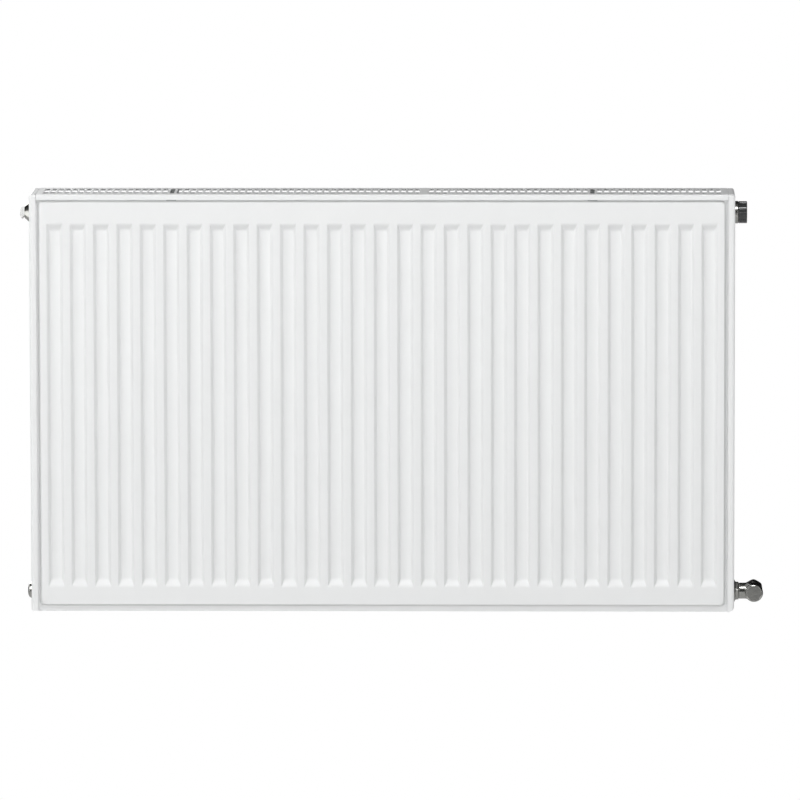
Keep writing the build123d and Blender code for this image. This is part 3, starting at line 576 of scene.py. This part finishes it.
CONVECTOR_SHEET = 0.5
CONVECTOR_FLAT = 9.0
CONVECTOR_BEND_R = 2.5


def convector(name, node, inward):
    """A wave of thin sheet, welded on the crowns of the channels."""
    low, high = box_mm(node)
    base, crest = (low.y, high.y) if inward > 0 else (high.y, low.y)
    base += inward * CONVECTOR_SHEET / 2
    crest -= inward * CONVECTOR_SHEET / 2
    first = low.x + CONVECTOR_FLAT / 2
    count = round((high.x - low.x - CONVECTOR_FLAT) / PITCH) + 1
    path = []
    for i in range(count):
        x = first + i * PITCH
        path += [(x + side * CONVECTOR_FLAT / 2, base, CONVECTOR_BEND_R) for side in (-1, 1)]
        if i < count - 1:
            path += [(x + PITCH / 2 + side * CONVECTOR_FLAT / 2, crest, CONVECTOR_BEND_R) for side in (-1, 1)]
    return strip_piece(name, node, path, CONVECTOR_SHEET, low.z, high.z, 3)


LUG_SHEET = 2.0
LUG_FOOT = 9.0
LUG_BEND_R = 2.6


def lug(node):
    """A hanging lug: a strap that stands off the rear panel between two welded feet."""
    low, high = box_mm(node)
    half = LUG_SHEET / 2
    inner = LUG_FOOT - half
    path = [
        (low.x, low.y + half, 0),
        (low.x + inner, low.y + half, LUG_BEND_R),
        (low.x + inner, high.y - half, LUG_BEND_R),
        (high.x - inner, high.y - half, LUG_BEND_R),
        (high.x - inner, low.y + half, LUG_BEND_R),
        (high.x, low.y + half, 0),
    ]
    return strip_piece(node + "_strap", node, path, LUG_SHEET, low.z, high.z, 5)


# ---- side covers ----
def curl(x, radius):
    """How far the rounded edge of the outer face has curled in at x."""
    over = max(0.0, x - (COVER_HIGH.x - radius))
    return radius - math.sqrt(max(0.0, radius**2 - over**2))


def cover_ring(x, foot_r):
    """A ring of points round a side cover: up the front, over the top and down the back."""
    inset = curl(x, COVER_EDGE_R)
    front, back = COVER_LOW.y + inset, COVER_HIGH.y - inset
    foot, top = COVER_LOW.z + curl(x, foot_r), COVER_HIGH.z - inset
    r = max(COVER_EDGE_R - inset, 0.0)
    ring = [(x, front, foot + (top - r - foot) * k / 12) for k in range(12)]
    for centre_y, start in ((front + r, 180), (back - r, 90)):
        for k in range(7):
            angle = math.radians(start - 15 * k)
            ring.append((x, centre_y + r * math.cos(angle), top - r + r * math.sin(angle)))
        if start == 180:
            ring += [(x, front + r + (back - front - 2 * r) * k / 8, top) for k in range(1, 8)]
    ring += [(x, back, top - r - (top - r - foot) * k / 12) for k in range(1, 13)]
    ring += [(x, back - (back - front) * k / 8, foot) for k in range(1, 8)]
    return ring


def side_cover(name, node, side, lower_port, upper_port):
    """A folded cover: a flat outer face with two port holes, and rounded edges that curl inwards."""
    foot_r = COVER_FOOT_R[side]
    stations = {COVER_INNER_X, COVER_HIGH.x - 0.001}
    for radius in (COVER_EDGE_R, foot_r):
        stations |= {COVER_HIGH.x - radius * (1 - math.sin(math.pi / 2 * step / 7)) for step in range(7)}
    rings = [cover_ring(x, foot_r) for x in sorted({round(x, 4) for x in stations})]
    rings.append([(COVER_HIGH.x, y, z) for _, y, z in rings.pop()])
    size = len(rings[0])
    points = [p for ring in rings for p in ring]
    faces = []
    foot_start = size - 8  # the points past the back's foot run along the open foot
    for level in range(len(rings) - 1):
        for k in range(size):
            if level == 0 and k >= foot_start:
                continue
            after = (k + 1) % size
            a, b = level * size, (level + 1) * size
            faces.append([a + k, a + after, b + after, b + k])
    flat_ring = list(range((len(rings) - 1) * size, len(rings) * size))
    outlines = [[points[i] for i in flat_ring]]
    indexes = list(flat_ring)
    for port in (lower_port, upper_port):
        hole = []
        for k in range(48):
            angle = 2 * math.pi * k / 48
            offset = (COVER_HOLE_R * math.cos(angle), COVER_HOLE_R * math.sin(angle))
            hole.append((COVER_HIGH.x, port.y + offset[0], port.z + offset[1]))
        indexes += range(len(points), len(points) + len(hole))
        points += hole
        outlines.append(hole)
    for triangle in tessellate_polygon([[Vector(p) for p in line] for line in outlines]):
        faces.append([indexes[i] for i in triangle])
    points = [(side * x, y, z) for x, y, z in points]
    obj = new_piece(name, points, faces, outward=(side, 0, 0))
    thicken(obj, COVER_SHEET)
    join_tabs(obj, side)
    return settle(obj, PAINT, "radiator", [node], sharp=50)


def join_tabs(obj, side):
    """Adds the two tabs that hold the cover under the grille to the cover's mesh."""
    work = bmesh.new()
    work.from_mesh(obj.data)
    middle_y = (COVER_LOW.y + COVER_HIGH.y) / 2
    top = COVER_HIGH.z - COVER_SHEET
    outer = COVER_LOW.x + COVER_TAB[0]
    for tab_y in (middle_y - COVER_TAB_OFFSET, middle_y + COVER_TAB_OFFSET):
        outline = round_corners(
            [
                (outer, tab_y - COVER_TAB[1] / 2, 0),
                (outer, tab_y + COVER_TAB[1] / 2, 0),
                (outer - COVER_TAB[0], tab_y + COVER_TAB[1] / 2, 4.0),
                (outer - COVER_TAB[0], tab_y - COVER_TAB[1] / 2, 4.0),
            ],
            True,
        )
        loops = []
        for z in (top - COVER_SHEET, top):
            loops.append([work.verts.new(Vector((side * p.x, p.y, z)) * MM) for p in outline])
        added = [work.faces.new(loops[0][::-1]), work.faces.new(loops[1])]
        for k in range(len(outline)):
            after = (k + 1) % len(outline)
            added.append(work.faces.new([loops[0][k], loops[0][after], loops[1][after], loops[1][k]]))
        bmesh.ops.recalc_face_normals(work, faces=added)
    work.to_mesh(obj.data)
    work.free()


# ---- top grille ----
ARC_STEPS = 12
SIDE_STEPS = 3


def slot_ring(centre_x, middle_y, grow, z):
    """The outline of a slot, grown by a margin: up its right side, round, down its left side, round."""
    r = SLOT_SIZE[1] / 2 + grow
    reach = (SLOT_SIZE[0] - SLOT_SIZE[1]) / 2
    ring = []
    for hand in (1, -1):
        for k in range(SIDE_STEPS):
            ring.append((centre_x + hand * r, middle_y + hand * reach * (2 * k / SIDE_STEPS - 1), z))
        for k in range(ARC_STEPS):
            angle = math.pi * k / ARC_STEPS
            ring.append(
                (centre_x + hand * r * math.cos(angle), middle_y + hand * (reach + r * math.sin(angle)), z)
            )
    return ring


def cell_ring(centre_x, middle_y, z):
    """The rectangle round a slot, with one point for each point of the slot's outline."""
    half = SLOT_PITCH / 2
    reach = (SLOT_SIZE[0] - SLOT_SIZE[1]) / 2
    ring = []
    for hand in (1, -1):
        for k in range(SIDE_STEPS):
            ring.append((centre_x + hand * half, middle_y + hand * reach * (2 * k / SIDE_STEPS - 1), z))
        for k in range(ARC_STEPS):
            angle = math.pi * k / ARC_STEPS
            stretch = half / max(abs(math.cos(angle)), abs(math.sin(angle)))
            along = hand * stretch * math.cos(angle)
            up = hand * (reach + stretch * math.sin(angle))
            ring.append((centre_x + along, middle_y + up, z))
    return ring


def grille():
    """The slotted top: a sheet with slots, rounded slot edges and folded long edges."""
    top = GRILLE_HIGH.z
    middle_y = (GRILLE_LOW.y + GRILLE_HIGH.y) / 2
    half = SLOT_PITCH / 2
    points, faces = [], []

    def add_ring(ring):
        start = len(points)
        points.extend(ring)
        return list(range(start, start + len(ring)))

    def bridge(a, b):
        for k in range(len(a)):
            after = (k + 1) % len(a)
            faces.append([a[k], a[after], b[after], b[k]])

    cell_sides = sorted({round(p[0], 4) for p in cell_ring(0.0, middle_y, top)})
    inner_low = min(p[1] for p in cell_ring(0.0, middle_y, top))
    inner_high = max(p[1] for p in cell_ring(0.0, middle_y, top))
    side_ys = sorted({round(p[1], 4) for p in cell_ring(0.0, middle_y, top) if abs(p[0] - half) < 1e-6})
    first = -(SLOT_COUNT - 1) / 2 * SLOT_PITCH
    columns = []
    for i in range(SLOT_COUNT):
        centre = first + i * SLOT_PITCH
        columns += [centre + x for x in cell_sides]
        border = add_ring(cell_ring(centre, middle_y, top))
        if i == SLOT_BLANK:
            faces.append(border)
            continue
        ring = add_ring(slot_ring(centre, middle_y, SLOT_EDGE_R, top))
        bridge(border, ring)
        for step in range(1, 4):
            angle = math.pi / 2 * step / 3
            grow = SLOT_EDGE_R * (1 - math.sin(angle))
            below = add_ring(slot_ring(centre, middle_y, grow, top - SLOT_EDGE_R * (1 - math.cos(angle))))
            bridge(ring, below)
            ring = below
    # Plain strips at both ends, beside the first and the last slot.
    row_end = first - half
    for hand in (1, -1):
        for low, high in zip(side_ys, side_ys[1:]):
            quad = [(-hand * row_end, low), (-hand * row_end, high)]
            quad += [(hand * GRILLE_HIGH.x, high), (hand * GRILLE_HIGH.x, low)]
            faces.append(add_ring([(x, y, top) for x, y in quad]))
    # Margins in front of and behind the slots, with the folded edges.
    columns = sorted({round(x, 4) for x in columns} | {GRILLE_LOW.x, GRILLE_HIGH.x})
    for hand, inner, outer in ((-1, inner_low, GRILLE_LOW.y), (1, inner_high, GRILLE_HIGH.y)):
        edge = outer - hand * GRILLE_EDGE_R
        profile = [(inner, top), (edge, top)]
        for step in range(1, 7):
            angle = math.pi / 2 * step / 6
            profile.append(
                (edge + hand * GRILLE_EDGE_R * math.sin(angle), top - GRILLE_EDGE_R * (1 - math.cos(angle)))
            )
        profile.append((outer, GRILLE_LOW.z if hand < 0 else REAR_LIP_Z))
        lines = [add_ring([(x, y, z) for x in columns]) for y, z in profile]
        for a, b in zip(lines, lines[1:]):
            for k in range(len(columns) - 1):
                faces.append([a[k], a[k + 1], b[k + 1], b[k]])
    obj = new_piece("top_grille_sheet", points, faces, outward=(0, 0, 1))
    thicken(obj, COVER_SHEET)
    return settle(obj, PAINT, "top_grille", ["top_grille"], sharp=50)


# ---- places of the fittings ----
PORT_FACE_X = 497.0


def port_place(seal_node, side):
    """Origin, axis and cross direction of a port, from the seal ring in its mouth."""
    seal = middle_mm(seal_node)
    return (side * PORT_FACE_X, seal.y, seal.z), (side, 0, 0), (0, 1, 0)


VENT = port_place("vent_o_ring", -1)
PLUG = port_place("plug_o_ring", -1)
INSERT = port_place("insert_o_ring", 1)
RETURN = port_place("tailpiece_o_ring", 1)
CAP_MIDDLE = middle_mm("return_cap")
BARREL = ((CAP_MIDDLE.x, RETURN[0][1], CAP_MIDDLE.z), (0, -1, 0), (1, 0, 0))
THREAD_R = 10.4
SEAL_GAP = 2.2


def hexagon(apothem, soft, turn_deg):
    """A shape function that cuts a turned part down to a hexagon with softened corners."""

    def radius_at(angle, out, radius):
        within = math.fmod(angle - math.radians(turn_deg) + 20 * math.pi, math.pi / 3) - math.pi / 6
        flat = apothem / math.cos(within)
        gap = abs(flat - radius)
        return min(flat, radius) - max(soft - gap, 0.0) ** 2 / (4 * soft)

    return radius_at


# ---- air vent ----
def vent():
    """The vent: a flange and cone with a threaded shank, its key recess and its swivelling nozzle."""
    outline = [
        (-12, 0, 0), (-12, 9.4, 0.3), *thread(-11, SEAL_GAP - 0.4, THREAD_R, 0.7, 1.8), (SEAL_GAP, 9.6, 0),
        (SEAL_GAP, 16, 0.4), (6.4, 16, 0.5), (14.8, 8.6, 0.5), (14.8, 5.9, 0), (20.8, 5.9, 0.4),
        (20.8, 4.9, 0.3), (16.1, 4.9, 0.2), (16.1, 2.5, 0.1), (-7, 2.5, 0), (-7, 1.2, 0), (-12, 1.2, 0),
    ]
    turned_piece("vent_plug_body", "vent_body", VENT, outline[1:], CHROME)
    cast_copy("vent_nozzle", "vent_nozzle_ring", WHITE, "vent_nozzle", 0.12, 5, 0.35)


# ---- blind plug ----
PLUG_KEY_FLATS = 9.0
PLUG_KEY_OUT = 7.4


def blind_plug():
    """The blind plug: a low dome over a flange, with a hexagon socket."""
    key_r = PLUG_KEY_FLATS / 2 / math.cos(math.pi / 6)

    def socket(angle, out, radius):
        if radius > key_r + 0.01 or out < PLUG_KEY_OUT - 0.01:
            return radius
        within = math.fmod(angle + 20 * math.pi, math.pi / 3) - math.pi / 6
        return radius * PLUG_KEY_FLATS / 2 / math.cos(within) / key_r

    outline = [
        (PLUG_KEY_OUT - 4, 0, 0), (PLUG_KEY_OUT - 4, 6.5, 0), (-12, 6.5, 0.3), (-12, 9.4, 0.3),
        *thread(-11, SEAL_GAP - 0.4, THREAD_R, 0.7, 1.8),
        (SEAL_GAP, 9.6, 0), (SEAL_GAP, 14, 0.4), (7, 14, 0.6),
        (7, 12.6, 0.3), (11.6, 10.6, 3.0), (13.4, 6.8, 1.2), (13.4, key_r + 0.5, 0), (13.0, key_r, 0),
        (PLUG_KEY_OUT, key_r, 0), (PLUG_KEY_OUT, 0, 0),
    ]
    closed = [(p.x, p.y) for p in round_corners(outline, False)]
    points, faces = turned(*PLUG, closed, socket, 96)
    settle(
        new_piece("blind_plug_dome", points, faces), CHROME, "radiator", ["blind_plug"], sharp=SHARP_DEG
    )


# ---- valve insert and its cap ----
INSERT_THREAD_R = 13.9


def insert():
    """The thermostatic insert: shank, flange, neck and the thread for a head."""
    outline = [
        (-42, 4.6, 0.3), (-42, 7.4, 0.5), (-41, 8.2, 0.4), (-14, 8.2, 0.3), (-13, 9.5, 0.2),
        *thread(-12.4, SEAL_GAP - 0.4, THREAD_R, 0.7, 1.8), (SEAL_GAP, 9.6, 0),
        (SEAL_GAP, 16, 0.4), (10.4, 16, 0.7), (11.5, 15.0, 0.5), (11.5, 13.2, 0),
        *thread(11.9, 18.4, INSERT_THREAD_R, 0.8, 1.5),
        (19, 12.6, 0.3), (19, 6.2, 0.3), (6, 6.2, 0), (6, 5.2, 0),
        (-18, 5.2, 0), (-18, 2.0, 0), (-20, 2.0, 0), (-20, 6.9, 0), (-33, 6.9, 0), (-33, 4.6, 0),
    ]
    turned_piece("valve_insert_sleeve", "valve_insert_body", INSERT, outline, CHROME)


CAP_R = 15.7
CAP_RIBS = 6
CAP_RIB_TURN = 13.0  # angle of a rib above the room side
CAP_RIB_HALF = 9.0  # from a rib's middle to the flute beside it
CAP_FLUTE_HALF = 3.6  # half a flute's width, as an angle
CAP_FLUTE_DEPTH = 0.8


def protective_cap():
    """The ribbed cap: finger ribs between pairs of flutes, and a rounded end edge."""

    def fluted(angle, out, radius):
        if radius < CAP_R - 1.2 or out < 12.6:
            return radius
        above_room = 180 - math.degrees(angle)
        from_rib = abs((above_room - CAP_RIB_TURN + 30) % (360 / CAP_RIBS) - 30)
        into_flute = 1 - abs(from_rib - CAP_RIB_HALF) / CAP_FLUTE_HALF
        if into_flute <= 0:
            return radius
        return radius - CAP_FLUTE_DEPTH * math.sin(math.pi / 2 * into_flute) * min(1.0, (out - 12.6) / 0.8)

    band = [(12.6 + 0.2 * k, CAP_R, 0) for k in range(5)]
    outline = [
        (11.6, 13.98, 0.2), (11.6, CAP_R, 0.4), *band, (18.0, CAP_R, 0), (23.6, CAP_R, 1.1), (23.6, 13.0, 0),
        (23.6, 0, 0),
    ]
    inside = [(17.8, 0, 0), (17.8, 2.4, 0.3), (20.6, 2.4, 0.3), (20.6, 13.98, 0.4), (13.0, 13.98, 0)]
    whole = [(p.x, p.y) for p in round_corners(inside + outline, False, 5)]
    points, faces = turned(*INSERT, whole, fluted, 300)
    obj = new_piece("protective_cap_ribbed", points, faces)
    settle(obj, BLACK, "protective_cap", ["protective_cap"], sharp=40)


# ---- return valve ----
NUT_APOTHEM = 12.4


def union_nut():
    """The union nut: a conical collar that runs out into a hexagon."""
    flats = hexagon(NUT_APOTHEM, 0.8, -15.0)

    def shape(angle, out, radius):
        share = min(1.0, max(0.0, (out - 7.4) / 1.6)) if radius > 11.0 else 0.0
        return radius + share * (flats(angle, out, radius) - radius)

    outline = [
        (2.9, 8.4, 0.2), (2.9, 16.4, 0.5), (6.4, 16.4, 0.8), (7.4, 15.6, 0), (8.2, 15.0, 0), (9.0, 14.4, 0.8),
        (12.4, 13.4, 0.8), (13.2, 12.6, 0.3), (13.2, 10.6, 0.3), (6.9, 10.6, 0.2), (6.9, 8.4, 0.2),
    ]
    turned_piece("return_union_nut_plated", "return_union_nut", RETURN, outline, CHROME, shape=shape,
                 segments=144)


BARREL_ROUND_R = 12.3  # the barrel's hexagon is rounded beyond this radius
BARREL_ROUND_SOFT = 2.2


def barrel_rounded(points):
    """Points of the valve's body with the corners of its barrel drawn in, clear of the neck."""
    x, z = points[:, 0] - CAP_MIDDLE.x, points[:, 2] - CAP_MIDDLE.z
    radius = np.maximum(np.hypot(x, z), 1e-6)
    over = np.clip(radius - BARREL_ROUND_R, 0, None)
    drawn_in = (over - over / (1 + over / BARREL_ROUND_SOFT)) * np.clip((x + 9) / 4, 0, 1)
    rounded = points.copy()
    rounded[:, 0] -= drawn_in * x / radius
    rounded[:, 2] -= drawn_in * z / radius
    return rounded


def return_valve():
    """The return valve's forged body, with a neck that flares into the barrel, and its cap."""
    flare = [(p.x, p.y) for p in round_corners(
        [(14.0, 7.2, 0), (14.0, 10.6, 0.5), (20.0, 10.6, 6.0),
         (29.0, 13.0, 3.0), (35.0, 11.0, 0), (35.0, 7.2, 0)],
        True, 6)]
    cast_copy("return_valve_forging", "return_valve_body", CHROME, voxel=0.35, relax=26, keep=0.35,
              extra=[turned(*RETURN, flare, None, 72)], forge=barrel_rounded)
    outline = [
        (14.1, 10.08, 0.2), (14.1, 12.5, 0.3), (14.7, 12.9, 0.4), (23.8, 12.9, 1.6), (26.4, 11.9, 1.2),
        (27.0, 10.9, 0.3), (26.8, 10.5, 0.1), (26.8, 0, 0),
    ]
    inside = [(25.0, 0, 0), (25.0, 10.08, 0.3), (15.0, 10.08, 0)]
    whole = [(p.x, p.y) for p in round_corners(inside + outline, False, 5)]
    points, faces = turned(*BARREL, whole, None, 96)
    settle(
        new_piece("return_cap_plated", points, faces), CHROME, "return_cap", ["return_cap"], sharp=SHARP_DEG
    )


# ---- nipples ----
def nipple(node):
    """A threaded nipple under the radiator, drawn with its thread."""
    low, high = box_mm(node)
    middle = (low + high) / 2
    crest = (high.x - low.x) / 2
    outline = [
        (0, 9.0, 0.3), (0, crest - 1.0, 0.4), *thread(0.6, 9.4, crest, 0.9, 1.8), (10, crest - 1.0, 0),
        (10, 9.0, 0),
    ]
    place = ((middle.x, middle.y, low.z), (0, 0, 1), (1, 0, 0))
    turned_piece(node + "_threaded", node, place, outline, PAINT)


# ---- the radiator ----
for sheet_name, sheet_node, seam, outward, fine in (
    ("front_face_pressing", "front_panel_face_sheet", FRONT_SEAM_Y, -1, 4),
    ("front_inner_pressing", "front_panel_inner_sheet", FRONT_SEAM_Y, 1, 2),
    ("rear_inner_pressing", "rear_panel_inner_sheet", REAR_SEAM_Y, -1, 2),
    ("rear_wall_pressing", "rear_panel_wall_sheet", REAR_SEAM_Y, 1, 2),
):
    pressed_sheet(sheet_name, sheet_node, seam, outward, fine)
convector("front_convector_wave", "front_convector", 1)
convector("rear_convector_wave", "rear_convector", -1)
for row in ("lower", "upper"):
    for hand in ("left", "right"):
        lug(f"{row}_{hand}_lug")
side_cover("left_cover_shell", "left_side_cover", -1, middle_mm("plug_o_ring"), middle_mm("vent_o_ring"))
side_cover(
    "right_cover_shell", "right_side_cover", 1, middle_mm("tailpiece_o_ring"), middle_mm("insert_o_ring")
)
grille()
vent()
blind_plug()
insert()
protective_cap()
union_nut()
return_valve()
for nipple_node in ("supply_nipple", "return_nipple"):
    nipple(nipple_node)

slot_of = {part["node"]: part["material_slot"] for part in frame["record"]["subparts"]}
for node_name, node_object in frame["nodes"].items():
    node_object.data.materials.clear()
    node_object.data.materials.append(MATERIALS[slot_of[node_name]])


# ---- camera ----
CAMERA_DISTANCE = 12.0
CAMERA_ELEVATION = 7.0
CAMERA_AZIMUTH = 1.2
CAMERA_ROLL = 0.1
CAMERA_LENS = 378.4
AIM = Vector((0.0256, FACE_LOW.y * MM, 0.3055))


def camera():
    """A long lens, a little above and to the right of the radiator's middle."""
    data = bpy.data.cameras.new("camera")
    data.lens = CAMERA_LENS
    data.sensor_width = 36.0
    data.clip_end = 100.0
    obj = bpy.data.objects.new("camera", data)
    bpy.context.scene.collection.objects.link(obj)
    rise, turn = math.radians(CAMERA_ELEVATION), math.radians(CAMERA_AZIMUTH)
    back = Vector((math.sin(turn) * math.cos(rise), -math.cos(turn) * math.cos(rise), math.sin(rise)))
    obj.location = AIM + back * CAMERA_DISTANCE
    level = back.to_track_quat("Z", "Y")
    obj.rotation_euler = (level @ Quaternion((0.0, 0.0, 1.0), math.radians(-CAMERA_ROLL))).to_euler()
    bpy.context.scene.camera = obj


# ---- studio ----
SKY_HEIGHT = ((-1.0, 0.34), (-0.09, 0.34), (0.0, 0.01), (0.24, 0.01), (0.34, 0.14), (1.0, 0.14))
SKY_DEPTH = ((-1.0, 1.0), (0.0, 1.0), (0.35, 0.15), (1.0, 0.15))


def softbox(name, place, target, width, height, power):
    """A rectangular soft light that looks at a target."""
    data = bpy.data.lights.new(name, "AREA")
    data.shape = "RECTANGLE"
    data.size = width
    data.size_y = height
    data.energy = power
    obj = bpy.data.objects.new(name, data)
    bpy.context.scene.collection.objects.link(obj)
    obj.location = place
    obj.rotation_euler = (Vector(place) - Vector(target)).to_track_quat("Z", "Y").to_euler()
    obj.visible_camera = False
    return obj


def direction(azimuth, elevation, distance):
    """A point at a distance from the radiator; azimuth 0 is in front of it, and positive is to its right."""
    a, e = math.radians(azimuth), math.radians(elevation)
    return AIM + distance * Vector((math.sin(a) * math.cos(e), -math.cos(a) * math.cos(e), math.sin(e)))


def shades(tree, source, stops):
    """A grey that runs through (place, value) stops as the source goes from -1 to 1."""
    span = tree.nodes.new("ShaderNodeMapRange")
    span.inputs["From Min"].default_value = -1.0
    tree.links.new(source, span.inputs["Value"])
    ramp_node = tree.nodes.new("ShaderNodeValToRGB")
    elements = ramp_node.color_ramp.elements
    while len(elements) < len(stops):
        elements.new(0.5)
    for element, (place, value) in zip(elements, stops):
        element.position = (place + 1) / 2
        element.color = (value, value, value, 1.0)
    tree.links.new(span.outputs["Result"], ramp_node.inputs["Fac"])
    return ramp_node.outputs["Color"]


def world():
    """A soft grey room, dark at the horizon and behind the radiator, and plain white to the camera."""
    sky = bpy.data.worlds.new("studio")
    sky.use_nodes = True
    tree = sky.node_tree
    tree.nodes.clear()
    place = tree.nodes.new("ShaderNodeTexCoord")
    split = tree.nodes.new("ShaderNodeSeparateXYZ")
    tree.links.new(place.outputs["Generated"], split.inputs["Vector"])
    height = shades(tree, split.outputs["Z"], SKY_HEIGHT)
    depth = shades(tree, split.outputs["Y"], SKY_DEPTH)
    lit = tree.nodes.new("ShaderNodeBackground")
    plain = tree.nodes.new("ShaderNodeBackground")
    plain.inputs["Color"].default_value = (1.0, 1.0, 1.0, 1.0)
    path = tree.nodes.new("ShaderNodeLightPath")
    mix = tree.nodes.new("ShaderNodeMixShader")
    out = tree.nodes.new("ShaderNodeOutputWorld")
    tree.links.new(height, lit.inputs["Color"])
    tree.links.new(depth, lit.inputs["Strength"])
    tree.links.new(path.outputs["Is Camera Ray"], mix.inputs["Fac"])
    tree.links.new(lit.outputs["Background"], mix.inputs[1])
    tree.links.new(plain.outputs["Background"], mix.inputs[2])
    tree.links.new(mix.outputs["Shader"], out.inputs["Surface"])
    bpy.context.scene.world = sky


FLOOR_Z = -1.0
FLOOR_SIZE = 7.8


def floor():
    """A plain pale floor below the radiator, clear when it is seen from underneath."""
    half = FLOOR_SIZE / 2
    mesh = bpy.data.meshes.new("floor")
    corners = [(-half, -half), (half, -half), (half, half), (-half, half)]
    mesh.from_pydata([(x, y, FLOOR_Z) for x, y in corners], [], [[0, 1, 2, 3]])
    obj = bpy.data.objects.new("floor", mesh)
    bpy.context.scene.collection.objects.link(obj)
    material, tree, shader = new_material("pale_floor")
    tint(tree, noise(tree, 900.0, 2.0), (0.62, 0.62, 0.62), (0.65, 0.65, 0.65), shader.inputs["Base Color"])
    shader.inputs["Roughness"].default_value = 0.9
    side = tree.nodes.new("ShaderNodeNewGeometry")
    clear = tree.nodes.new("ShaderNodeBsdfTransparent")
    mix = tree.nodes.new("ShaderNodeMixShader")
    tree.links.new(side.outputs["Backfacing"], mix.inputs["Fac"])
    tree.links.new(shader.outputs["BSDF"], mix.inputs[1])
    tree.links.new(clear.outputs["BSDF"], mix.inputs[2])
    tree.links.new(mix.outputs["Shader"], tree.nodes["Material Output"].inputs["Surface"])
    mesh.materials.append(material)


camera()
world()
floor()
softbox("main", AIM + Vector((0.25, -2.3, 2.9)), AIM, 1.6, 0.8, 42)
softbox("left", direction(-58, 22, 4.5), AIM, 2.0, 2.0, 60)
softbox("front_left", direction(-32, 8, 4.5), AIM, 1.6, 2.4, 20)
softbox("front_right", direction(32, 8, 4.5), AIM, 1.6, 2.4, 30)
softbox("front_fill", direction(0, 8, 6.0), AIM, 4.0, 1.6, 74).visible_glossy = False
softbox("left_side", direction(-95, -2, 2.2), AIM, 0.8, 1.2, 5)
softbox("right_side", direction(95, 5, 4.0), AIM, 2.0, 2.0, 36).visible_glossy = False
softbox("rear", (-2.0, 3.6, 1.0), AIM, 2.4, 1.6, 55)
softbox("rear_top", (-1.5, 2.5, 2.5), AIM, 2.0, 1.0, 40)
bpy.context.scene.view_settings.view_transform = "Standard"
